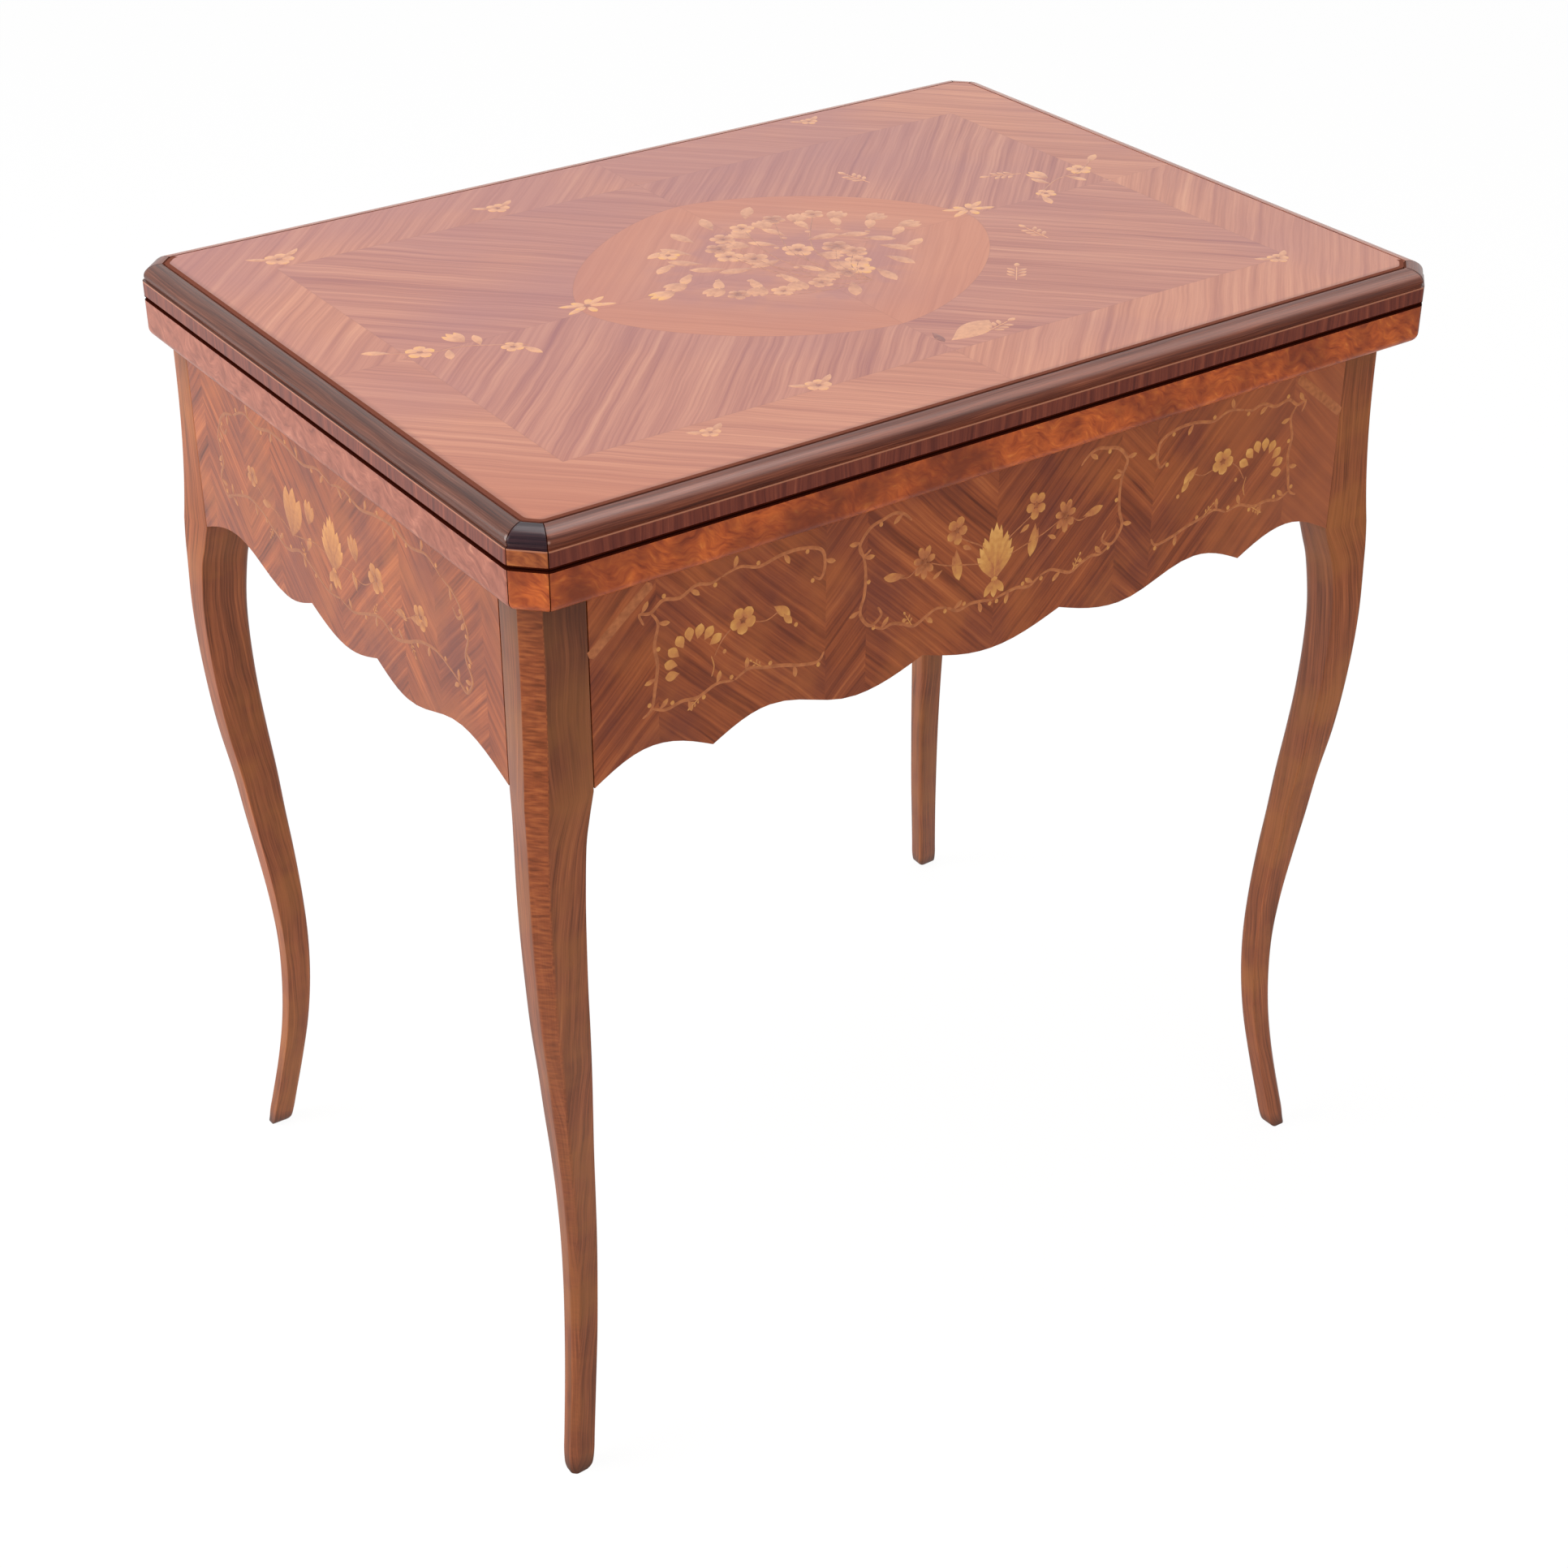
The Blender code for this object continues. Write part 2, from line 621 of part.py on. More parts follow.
def make_lower_leaf():
    """Core, edge pieces and baize of the leaf that turns on the frame."""
    outline = canted_outline(LIPPING_WIDTH + SEAT_GAP)
    core = prism("lower_core", outline, LOWER_LOW, LOWER_HIGH, ROSEWOOD, SWIVEL)
    recess = LOWER_HIGH - BAIZE_THICKNESS - SEAT_GAP
    work(core, prism("lower_core_recess", baize_plan(SEAT_GAP), recess, LOWER_HIGH + CUT_OVERRUN))
    plate = plate_plan(SEAT_GAP)
    seat = LOWER_LOW + PLATE_THICKNESS + SEAT_GAP
    work(core, prism("lower_core_plate_seat", plate, LOWER_LOW - CUT_OVERRUN, seat))
    socket = circle((PIVOT_X + STOP_OFFSET, PIVOT_Y - STOP_OFFSET), PEG_RADIUS + SEAT_GAP)
    socket_high = LOWER_LOW + PEG_SOCKET + SEAT_GAP
    work(core, prism("lower_core_socket", socket, LOWER_LOW - CUT_OVERRUN, socket_high))
    prism("lower_baize", baize_plan(0), LOWER_HIGH - BAIZE_THICKNESS, LOWER_HIGH, BAIZE, SWIVEL)
    pieces = {}
    for edge, label in enumerate(EDGE_NAMES):
        pieces[label] = edge_piece(f"lower_lip_{label}", edge, lipping_profile(), LOWER_LOW, BURR, SWIVEL)
    return pieces["back"]


def make_upper_leaf():
    """Core, veneered field, mouldings and baize of the leaf that folds over."""
    field_low = UPPER_HIGH - FIELD_THICKNESS
    outline = canted_outline(LIPPING_WIDTH + SEAT_GAP)
    core = prism("upper_core", outline, UPPER_LOW, field_low - SEAT_GAP, ROSEWOOD, FOLD)
    recess = UPPER_LOW + BAIZE_THICKNESS + SEAT_GAP
    work(core, prism("upper_core_recess", baize_plan(SEAT_GAP), UPPER_LOW - CUT_OVERRUN, recess))
    prism("upper_baize", baize_plan(0), UPPER_LOW, UPPER_LOW + BAIZE_THICKNESS, BAIZE, FOLD)
    prism("top_field", outline, field_low, UPPER_HIGH, TULIPWOOD, FOLD)
    pieces = {}
    for edge, label in enumerate(EDGE_NAMES):
        pieces[label] = edge_piece(f"moulding_{label}", edge, moulding_profile(), UPPER_LOW, DARK_WOOD, FOLD)
    return pieces["back"]


# Pivot

def plate_plan(margin):
    """A square with clipped corners round the pivot."""
    half = PLATE_SIZE / 2 + margin
    cut = PLATE_CHAMFER
    corner = [(half - cut, -half), (half, -half + cut), (half, half - cut), (half - cut, half)]
    return [(PIVOT_X + x, PIVOT_Y + y) for x, y in [*corner, *[(-x, -y) for x, y in corner]]]


def make_pivot():
    """Plate and stud under the lower leaf, washer and nut under the rail, and the stop peg."""
    plate = prism("pivot_plate", plate_plan(0), LOWER_LOW, LOWER_LOW + PLATE_THICKNESS, BRASS, SWIVEL)
    washer_high = RAIL_LOW - SEAT_GAP
    washer_low = washer_high - WASHER_THICKNESS
    nut_high = washer_low - SEAT_GAP
    nut_low = nut_high - NUT_THICKNESS
    centre = (PIVOT_X, PIVOT_Y)
    stud = prism(
        "pivot_plate_stud",
        circle(centre, STUD_RADIUS),
        nut_low - STUD_TAIL,
        LOWER_LOW + PLATE_THICKNESS / 2,
    )
    work(plate, stud, "UNION")
    bore = circle(centre, STUD_RADIUS + SEAT_GAP)
    washer = prism("pivot_washer", circle(centre, WASHER_RADIUS), washer_low, washer_high, STEEL, SWIVEL)
    nut = prism("pivot_nut", circle(centre, NUT_RADIUS, 6), nut_low, nut_high, STEEL, SWIVEL)
    for piece, low, high in ((washer, washer_low, washer_high), (nut, nut_low, nut_high)):
        tool = prism(f"{piece.name}_bore", bore, low - CUT_OVERRUN, high + CUT_OVERRUN)
        work(piece, tool)
    peg_place = (PIVOT_X + STOP_OFFSET, PIVOT_Y - STOP_OFFSET)
    peg_low = LOWER_LOW - PEG_DROP
    rings = [
        [(x, y, height) for x, y in circle(peg_place, radius)]
        for height, radius in (
            (peg_low, PEG_RADIUS - PEG_CHAMFER),
            (peg_low + PEG_CHAMFER, PEG_RADIUS),
            (LOWER_LOW + PEG_SOCKET, PEG_RADIUS),
        )
    ]
    loft("stop_peg", rings, WALNUT, SWIVEL)


# Hinges

def make_hinge(label, middle, lower_lip, upper_lip):
    """A butt hinge let into the playing faces: two outer knuckles below, one between them above."""
    y = HINGE_AXIS
    z = PARTING_MIDDLE
    low_x = middle - HINGE_LENGTH / 2
    third = HINGE_LENGTH / 3
    stations = [low_x + third * step for step in range(4)]
    plate_end = y - KNUCKLE_RADIUS - SEAT_GAP
    plate_start = TOP_DEPTH / 2 - HINGE_PLATE_WIDTH
    knuckle_end = y
    for side, way, lip, parent, thirds in (
        ("lower", -1, lower_lip, SWIVEL, (0, 2)),
        ("upper", 1, upper_lip, FOLD, (1,)),
    ):
        face = z + way * PARTING_GAP / 2
        back = face + way * HINGE_PLATE_THICKNESS
        heights = sorted((face, back))
        name = f"hinge_{label}_{side}"
        plate = box(
            name,
            (low_x, plate_start, heights[0]),
            (low_x + HINGE_LENGTH, plate_end, heights[1]),
            BRASS,
            parent,
        )
        for number in thirds:
            start = stations[number] + (SEAT_GAP / 2 if number else 0)
            end = stations[number + 1] - (SEAT_GAP / 2 if number < 2 else 0)
            tab_low = (start, plate_end - SEAT_GAP, heights[0])
            work(plate, box(f"{name}_tab_{number}", tab_low, (end, knuckle_end, heights[1])), "UNION")
            work(plate, rod_along_x(f"{name}_knuckle_{number}", KNUCKLE_RADIUS, start, end, y, z), "UNION")
        reach = (low_x - CUT_OVERRUN, low_x + HINGE_LENGTH + CUT_OVERRUN)
        work(plate, rod_along_x(f"{name}_bore", PIN_RADIUS + SEAT_GAP, *reach, y, z))
        deep = sorted((back + way * SEAT_GAP, z - way * CUT_OVERRUN))
        x_range = (low_x - SEAT_GAP, low_x + HINGE_LENGTH + SEAT_GAP)
        seat = box(
            f"{name}_seat",
            (x_range[0], plate_start - SEAT_GAP, deep[0]),
            (x_range[1], TOP_DEPTH / 2 + CUT_OVERRUN, deep[1]),
        )
        work(lip, seat)
        hollow = KNUCKLE_RADIUS + 2 * SEAT_GAP
        deep = sorted((z + way * hollow, z - way * CUT_OVERRUN))
        head = HINGE_PIN_HEAD + SEAT_GAP
        notch = box(
            f"{name}_notch",
            (x_range[0] - head, y - hollow, deep[0]),
            (x_range[1] + head, TOP_DEPTH / 2 + CUT_OVERRUN, deep[1]),
        )
        work(lip, notch)
    pin = rod_along_x(
        f"hinge_{label}_pin",
        PIN_RADIUS,
        low_x - SEAT_GAP - HINGE_PIN_HEAD / 2,
        low_x + HINGE_LENGTH + SEAT_GAP + HINGE_PIN_HEAD / 2,
        y,
        z,
        BRASS,
        SWIVEL,
    )
    left_start = low_x - SEAT_GAP - HINGE_PIN_HEAD
    right_start = low_x + HINGE_LENGTH + SEAT_GAP
    for tip, start in (("left", left_start), ("right", right_start)):
        head = rod_along_x(f"{pin.name}_{tip}", HINGE_PIN_HEAD_RADIUS, start, start + HINGE_PIN_HEAD, y, z)
        work(pin, head, "UNION")


for old in list(bpy.data.objects):
    bpy.data.objects.remove(old)

WALNUT = finish("polished_walnut", (0.15, 0.055, 0.026), 0.35)
ROSEWOOD = finish("rosewood_veneer", (0.25, 0.072, 0.028), 0.35)
BURR = finish("burr_cross_band", (0.34, 0.10, 0.035), 0.35)
TULIPWOOD = finish("tulipwood_field", (0.50, 0.22, 0.13), 0.3)
DARK_WOOD = finish("dark_moulding", (0.075, 0.026, 0.016), 0.3)
PINE = finish("pine", (0.55, 0.36, 0.17), 0.7)
BAIZE = finish("green_baize", (0.03, 0.12, 0.05), 0.95)
BRASS = finish("brass", (0.72, 0.50, 0.17), 0.35, 1.0)
STEEL = finish("steel", (0.45, 0.45, 0.45), 0.4, 1.0)

BASE = pivot_frame("base_body", (0, 0, 0))
SWIVEL = pivot_frame("swivel_body", (PIVOT_X, PIVOT_Y, FRAME_HIGH), BASE)
FOLD = pivot_frame("fold_body", (0, HINGE_AXIS, PARTING_MIDDLE), SWIVEL)

for leg_name, along, across in (
    ("front_left", -1, -1), ("front_right", 1, -1), ("back_right", 1, 1), ("back_left", -1, 1),
):
    make_leg(f"leg_{leg_name}", along, across)
    make_corner_block(f"corner_block_{leg_name}", along, across)

half_long = HALF_LENGTH - LEG_FRONT_WIDTH - SEAT_GAP
half_short = HALF_DEPTH - LEG_SIDE_WIDTH - SEAT_GAP
for side_name, shares, half_span, along, across, quarter in (
    ("front", LONG_SCALLOP_SHARES, half_long, 0, -1, 0),
    ("right", SHORT_SCALLOP_SHARES, half_short, 1, 0, 1),
    ("back", LONG_SCALLOP_SHARES, half_long, 0, 1, 2),
    ("left", SHORT_SCALLOP_SHARES, half_short, -1, 0, 3),
):
    middle_of_face = (FRAME_SHIFT_X + along * HALF_LENGTH, FRAME_SHIFT_Y + across * HALF_DEPTH, 0)
    make_apron(f"apron_{side_name}", shares, half_span, middle_of_face, quarter * math.pi / 2)

make_rail()
make_well()
make_pivot()
lower_back = make_lower_leaf()
upper_back = make_upper_leaf()
make_hinge("left", -HINGE_PLACE, lower_back, upper_back)
make_hinge("right", HINGE_PLACE, lower_back, upper_back)
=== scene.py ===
"""Looks of a folding card table with cabriole legs, scalloped aprons and a swivelling top.

Metres, +Z up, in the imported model's own frame. The sections follow the table as it is put
together, from the floor it stands on to the leaves of its top.
"""
import json
import math

import bmesh
import bpy
import numpy as np
from mathutils import Matrix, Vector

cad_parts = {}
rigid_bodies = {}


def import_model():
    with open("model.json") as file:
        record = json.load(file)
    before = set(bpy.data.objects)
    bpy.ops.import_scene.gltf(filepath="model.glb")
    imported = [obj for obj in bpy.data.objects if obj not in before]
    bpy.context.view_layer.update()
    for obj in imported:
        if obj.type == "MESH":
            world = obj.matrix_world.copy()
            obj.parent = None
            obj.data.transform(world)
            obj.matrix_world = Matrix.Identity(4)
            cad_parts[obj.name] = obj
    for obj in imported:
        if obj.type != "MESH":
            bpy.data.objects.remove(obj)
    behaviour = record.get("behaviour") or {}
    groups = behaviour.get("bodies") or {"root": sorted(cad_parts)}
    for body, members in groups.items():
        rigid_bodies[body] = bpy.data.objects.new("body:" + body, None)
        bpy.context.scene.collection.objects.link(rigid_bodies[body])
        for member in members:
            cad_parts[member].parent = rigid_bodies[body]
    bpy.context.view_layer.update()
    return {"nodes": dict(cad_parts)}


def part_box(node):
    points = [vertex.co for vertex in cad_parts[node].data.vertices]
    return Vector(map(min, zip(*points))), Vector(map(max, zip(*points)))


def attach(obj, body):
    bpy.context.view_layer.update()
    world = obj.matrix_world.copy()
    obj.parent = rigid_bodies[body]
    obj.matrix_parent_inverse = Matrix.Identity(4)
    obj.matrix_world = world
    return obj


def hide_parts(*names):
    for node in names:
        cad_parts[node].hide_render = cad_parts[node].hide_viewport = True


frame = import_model()
scene = bpy.context.scene


# Camera
# A standing photographer's view of the near left corner, looking down on the top.

CAMERA_PLACE = (-1.0361, -1.4691, 1.4498)
CAMERA_YAW = math.radians(35.19)  # from +Y towards +X
CAMERA_PITCH = math.radians(31.84)  # below the horizon
CAMERA_ROLL = math.radians(0.14)
SENSOR_WIDTH = 36.0
LENS = 62.57


def in_scene(name, data):
    """A new object for a mesh, a lamp or a camera, linked into the scene at its origin."""
    made = bpy.data.objects.new(name, data)
    scene.collection.objects.link(made)
    return made


camera = in_scene("camera", bpy.data.cameras.new("camera"))
camera.data.sensor_width = SENSOR_WIDTH
camera.data.lens = LENS
camera.matrix_world = (
    Matrix.Translation(CAMERA_PLACE)
    @ Matrix.Rotation(-CAMERA_YAW, 4, "Z")
    @ Matrix.Rotation(math.pi / 2 - CAMERA_PITCH, 4, "X")
    @ Matrix.Rotation(CAMERA_ROLL, 4, "Z")
)
scene.camera = camera


# Floor and light
# A white studio sweep with a large window at the side and a skylight over the right. The camera
# sees the room as white. The polish sees it bright towards the window and dim in front, and the
# floor keeps the legs' faint shadow.

FLOOR_SIZE = 16.0
FLOOR_WHITE = "#F8F8F8"
FLOOR_GLOW = 1.02
FLOOR_GLOW_SHARE = 0.93  # of what the camera sees of the floor, the rest being lit and shaded
GLOSS_FLOOR_RUN = (-1.30, 1.00)  # along Y, from the dim floor in front to the bright one behind
GLOSS_FLOOR = (0.18, 0.80)
GLOSS_ROOM = (0.25, 1.00)
TOWARDS_WINDOW = (0.70, 0.60, 0.39)
WINDOW_RUN = (-0.2, 0.9)  # cosines to that direction between which the room brightens
TOWARDS_SKYLIGHT = (0.60, -0.08, 0.80)  # what the rolled edges catch along the front
SKYLIGHT_EDGE = 0.86  # the cosine to it at which the skylight begins
SKYLIGHT_GLOSS = 3.2
SKYLIGHT_TINT = "#FFDCD2"
ROOM_STRENGTH = 0.50
ROOM_TINT = "#FFFFFF"
# Each lamp: place, point that it faces, size in metres, power in watts and colour.
LAMPS = {
    "window_lamp": ((-2.6, 0.9, 1.6), (0.0, 0.0, 0.5), 2.2, 80.0, "#FFF8F4"),
    "ceiling_lamp": ((0.3, 0.4, 3.0), (0.0, 0.0, 0.5), 2.0, 20.0, "#FFFFFF"),
    "front_lamp": ((-0.4, -3.0, 1.6), (0.0, 0.0, 0.4), 1.6, 26.0, "#FFF2E6"),
}


def linear(code):
    """A hex colour, written as sRGB, as the linear colour that a shader takes."""
    value = np.array([int(code[place:place + 2], 16) for place in (1, 3, 5)]) / 255
    curve = np.where(value <= 0.04045, value / 12.92, ((value + 0.055) / 1.055) ** 2.4)
    return (*curve.tolist(), 1.0)


def add(tree, kind, inputs=None, stops=None, **settings):
    """Add one shader node: its properties, its inputs (a value or another node's output), its stops."""
    made = tree.nodes.new("ShaderNode" + kind)
    for name, value in settings.items():
        setattr(made, name, value)
    for place, value in (inputs or {}).items():
        if isinstance(value, bpy.types.NodeSocket):
            tree.links.new(value, made.inputs[place])
        else:
            made.inputs[place].default_value = value
    for index, (place, colour) in enumerate(stops or ()):
        marks = made.color_ramp.elements
        mark = marks[index] if index < 2 else marks.new(place)
        mark.position = place
        mark.color = linear(colour)
    return made


def new_material(name):
    """A material with an empty node tree, and that tree."""
    material = bpy.data.materials.new(name)
    material.use_nodes = True
    material.node_tree.nodes.clear()
    return material, material.node_tree


def end_with(tree, surface):
    """Link a shader to the tree's output."""
    output = tree.nodes.new("ShaderNodeOutputMaterial")
    tree.links.new(surface, output.inputs["Surface"])


scene.view_settings.view_transform = "Standard"

world = bpy.data.worlds.new("white_room")
scene.world = world
world.use_nodes = True
world.node_tree.nodes.clear()
room = world.node_tree
path = add(room, "LightPath").outputs
heading = add(room, "TexCoord").outputs["Generated"]
facing = add(room, "VectorMath", {0: heading, 1: TOWARDS_WINDOW}, operation="DOT_PRODUCT").outputs["Value"]
sheen = add(room, "MapRange", {
    "Value": facing, "From Min": WINDOW_RUN[0], "From Max": WINDOW_RUN[1],
    "To Min": GLOSS_ROOM[0], "To Max": GLOSS_ROOM[1],
}).outputs[0]
overhead = add(room, "VectorMath", {
    0: heading, 1: TOWARDS_SKYLIGHT,
}, operation="DOT_PRODUCT").outputs["Value"]
skylight = add(room, "MapRange", {
    "Value": overhead, "From Min": SKYLIGHT_EDGE, "To Max": SKYLIGHT_GLOSS,
}).outputs[0]
lit = add(room, "Background", {"Color": linear(ROOM_TINT), "Strength": ROOM_STRENGTH}).outputs[0]
glossed = add(room, "Background", {"Color": linear(ROOM_TINT), "Strength": sheen}).outputs[0]
skylight = add(room, "Background", {"Color": linear(SKYLIGHT_TINT), "Strength": skylight}).outputs[0]
glossed = add(room, "AddShader", {0: glossed, 1: skylight}).outputs[0]
white = add(room, "Background", {"Color": linear("#FFFFFF"), "Strength": 1.0}).outputs[0]
mixed = add(room, "MixShader", {0: path["Is Glossy Ray"], 1: lit, 2: glossed}).outputs[0]
mixed = add(room, "MixShader", {0: path["Is Camera Ray"], 1: mixed, 2: white}).outputs[0]
room_output = room.nodes.new("ShaderNodeOutputWorld")
room.links.new(mixed, room_output.inputs["Surface"])

floor_paint, tree = new_material("matt_white_paint")
path = add(tree, "LightPath").outputs
spot = add(tree, "SeparateXYZ", {0: add(tree, "TexCoord").outputs["Object"]}).outputs
sheen = add(tree, "MapRange", {
    "Value": spot["Y"], "From Min": GLOSS_FLOOR_RUN[0], "From Max": GLOSS_FLOOR_RUN[1],
    "To Min": GLOSS_FLOOR[0], "To Max": GLOSS_FLOOR[1],
}).outputs[0]
matt = add(tree, "BsdfDiffuse", {"Color": linear(FLOOR_WHITE)}).outputs[0]
glow = add(tree, "Emission", {"Color": linear("#FFFFFF"), "Strength": FLOOR_GLOW}).outputs[0]
glossed = add(tree, "Emission", {"Color": linear("#FFFFFF"), "Strength": sheen}).outputs[0]
share = add(tree, "Math", {0: path["Is Camera Ray"], 1: FLOOR_GLOW_SHARE}, operation="MULTIPLY").outputs[0]
mixed = add(tree, "MixShader", {0: share, 1: matt, 2: glow}).outputs[0]
end_with(tree, add(tree, "MixShader", {0: path["Is Glossy Ray"], 1: mixed, 2: glossed}).outputs[0])

half_floor = FLOOR_SIZE / 2
floor_mesh = bpy.data.meshes.new("studio_floor")
corners = [(half_floor * x, half_floor * y, 0) for x, y in ((-1, -1), (1, -1), (1, 1), (-1, 1))]
floor_mesh.from_pydata(corners, [], [(0, 1, 2, 3)])
floor_mesh.materials.append(floor_paint)
studio_floor = in_scene("studio_floor", floor_mesh)

for lamp_name, (lamp_place, aim, size, power, tint) in LAMPS.items():
    lamp = bpy.data.lights.new(lamp_name, "AREA")
    lamp.shape = "DISK"
    lamp.size = size
    lamp.energy = power
    lamp.color = linear(tint)[:3]
    lamp_object = in_scene(lamp_name, lamp)
    lamp_object.location = lamp_place
    away = np.array(aim) - np.array(lamp_place)
    lamp_object.rotation_euler = (
        math.acos(-away[2] / np.linalg.norm(away)),
        0,
        math.atan2(away[1], away[0]) - math.pi / 2,
    )


# Setting out
# The frame's outer faces and the edges of the leaves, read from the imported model.

left_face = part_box("apron_left")[0].x
right_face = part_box("apron_right")[1].x
front_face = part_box("apron_front")[0].y
back_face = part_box("apron_back")[1].y
frame_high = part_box("leg_front_left")[1].z
frame_middle = ((left_face + right_face) / 2, (front_face + back_face) / 2)
half_frame = ((right_face - left_face) / 2, (back_face - front_face) / 2)
apron_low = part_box("apron_front")[0].z


# Legs
# Solid walnut-like hardwood, sawn to a cabriole line and shaped by hand, one piece with its stile.
# The outer corner is cut to a narrow flat, which is redder at the stile, where the wood is curly,
# and runs out into the rounded leg lower down. The finish is old French polish.

LEG_FRONT_WIDTH = 0.041
LEG_SIDE_WIDTH = 0.033
LEG_CANT = 0.011
LEG_SWEEP = 0.0246
LEG_SWELL = 0.0078
SWELL_POWER = 2.5  # of the share of the way down the stile: the cant swells late
SHOULDER_DROP = 0.002
STILE_ROWS = 14
LEG_STEPS = 5
CORNER_STEPS = 5
# Radii of the section's corners: the cant's two edges at the stile and further down, the two edges
# beside the aprons, and the inner one; the drop is what the cant's edges take to soften.
CANT_RADIUS_HIGH = 0.0012
CANT_RADIUS_LOW = 0.0030
CANT_SOFTENING_DROP = 0.160
SIDE_RADIUS = 0.0014
INNER_RADIUS = 0.0085
# Each row: height as a share of the shoulder's, shift out as a share of the sweep, the section's
# depth and width as shares of the stile's, along and across the diagonal, and the cant's swelling.
LEG_LINE_SHARES = (
    (1.000, 0.00, 1.000, 1.000, 1.00),
    (0.970, 0.18, 1.000, 0.925, 0.60),
    (0.938, 0.36, 1.000, 0.870, 0.12),
    (0.876, 0.44, 0.940, 0.838, 0.00),
    (0.815, 0.40, 0.900, 0.812, 0.00),
    (0.744, 0.27, 0.867, 0.777, 0.00),
    (0.682, 0.09, 0.840, 0.748, 0.00),
    (0.613, -0.20, 0.775, 0.690, 0.00),
    (0.545, -0.42, 0.728, 0.630, 0.00),
    (0.482, -0.64, 0.685, 0.568, 0.00),
    (0.409, -0.87, 0.620, 0.520, 0.00),
    (0.337, -1.00, 0.567, 0.487, 0.00),
    (0.266, -0.97, 0.535, 0.464, 0.00),
    (0.195, -0.82, 0.497, 0.450, 0.00),
    (0.124, -0.54, 0.463, 0.432, 0.00),
    (0.053, -0.17, 0.456, 0.423, 0.00),
    (0.026, -0.02, 0.458, 0.423, 0.00),
    (0.009, 0.05, 0.430, 0.396, 0.00),
    (0.003, 0.08, 0.378, 0.350, 0.00),
    (0.000, 0.10, 0.300, 0.280, 0.00),
)


def smooth_rows(rows, steps):
    """More rows between the given ones, on one Catmull-Rom curve through them all."""
    rows = np.asarray(rows, float)
    before = np.vstack([rows[:1], rows[:-2]])
    start, end = rows[:-1], rows[1:]
    after = np.vstack([rows[2:], rows[-1:]])
    t = (np.arange(steps) / steps)[None, :, None]
    p, q, r, s = (part[:, None, :] for part in (before, start, end, after))
    slope = (r - p) / 2
    square = p - 2.5 * q + 2 * r - s / 2
    cube = (3 * q - p - 3 * r + s) / 2
    curve = q + t * slope + t**2 * square + t**3 * cube
    return np.vstack([curve.reshape(-1, rows.shape[1]), rows[-1:]])


WELD_DISTANCE = 1e-6  # points closer than this become one
CRISP_ANGLE = 35.0  # degrees by which faces turn where an edge stays crisp


def weld(mesh, distance, sharp=CRISP_ANGLE):
    """Join points that meet, turn the faces outwards and smooth them between the crisp edges."""
    joined = bmesh.new()
    joined.from_mesh(mesh)
    bmesh.ops.remove_doubles(joined, verts=joined.verts, dist=distance)
    bmesh.ops.recalc_face_normals(joined, faces=joined.faces)
    joined.to_mesh(mesh)
    joined.free()
    mesh.shade_smooth()
    mesh.set_sharp_from_angle(angle=math.radians(sharp))


def skin(name, grid, materials, uv=None, face_slots=None, cap_slot=0, tones=None, sharp=CRISP_ANGLE):
    """A closed mesh from a grid of points (rows, columns, 3), whose columns run round to the first.

    The first and last rows are closed with one face each. uv holds one pair for each row and
    column, with one column more than the grid, for the seam. face_slots gives the material of
    each column of faces, or of each face; tones is a number for each point.
    """
    rows, columns = grid.shape[:2]
    closed = np.concatenate([grid, grid[:, :1]], axis=1)
    width = columns + 1
    index = np.arange(rows * width).reshape(rows, width)
    quads = np.stack([index[:-1, :-1], index[:-1, 1:], index[1:, 1:], index[1:, :-1]], axis=-1)
    faces = [*quads.reshape(-1, 4).tolist(), index[0, :-1].tolist(), index[-1, :-1].tolist()]
    mesh = bpy.data.meshes.new(name)
    mesh.from_pydata(closed.reshape(-1, 3), [], faces)
    for material in materials:
        mesh.materials.append(material)
    corner = np.empty(len(mesh.loops), np.int32)
    mesh.loops.foreach_get("vertex_index", corner)
    if uv is not None:
        layer = mesh.uv_layers.new(name="grain")
        layer.data.foreach_set("uv", uv.reshape(-1, 2)[corner].astype(np.float32).ravel())
    if face_slots is not None:
        slots = np.full(len(mesh.polygons), cap_slot, np.int32)
        slots[:(rows - 1) * columns] = np.broadcast_to(face_slots, (rows - 1, columns)).ravel()
        mesh.polygons.foreach_set("material_index", slots)
    if tones is not None:
        layer = mesh.attributes.new("tone", "FLOAT", "POINT")
        values = np.concatenate([tones, tones[:, :1]], axis=1)
        layer.data.foreach_set("value", values.astype(np.float32).ravel())
    weld(mesh, WELD_DISTANCE, sharp)
    return in_scene(name, mesh)


CORNER_SHARE = 0.48  # of a side, the most that the curve at one of its ends takes


def rounded_section(corners, radii, steps):
    """Sections with rounded corners: each corner (rows, corners, 2) becomes a short curve.

    The curve is the quadratic one that touches both sides at the radius times the tangent of half
    the turn, so that it is close to an arc.
    """
    ahead = np.roll(corners, -1, axis=1) - corners
    behind = np.roll(corners, 1, axis=1) - corners
    ahead_length = np.linalg.norm(ahead, axis=2, keepdims=True)
    behind_length = np.linalg.norm(behind, axis=2, keepdims=True)
    ahead, behind = ahead / ahead_length, behind / behind_length
    inside = np.arccos(np.clip((ahead * behind).sum(2), -1, 1))[:, :, None]
    reach = radii[:, :, None] / np.tan(inside / 2)
    reach = np.minimum(reach, CORNER_SHARE * np.minimum(ahead_length, behind_length))
    t = np.linspace(0, 1, steps)[None, None, :, None]
    first = (corners + behind * reach)[:, :, None]
    last = (corners + ahead * reach)[:, :, None]
    curve = (1 - t) ** 2 * first + 2 * t * (1 - t) * corners[:, :, None] + t**2 * last
    return curve.reshape(corners.shape[0], -1, 2)


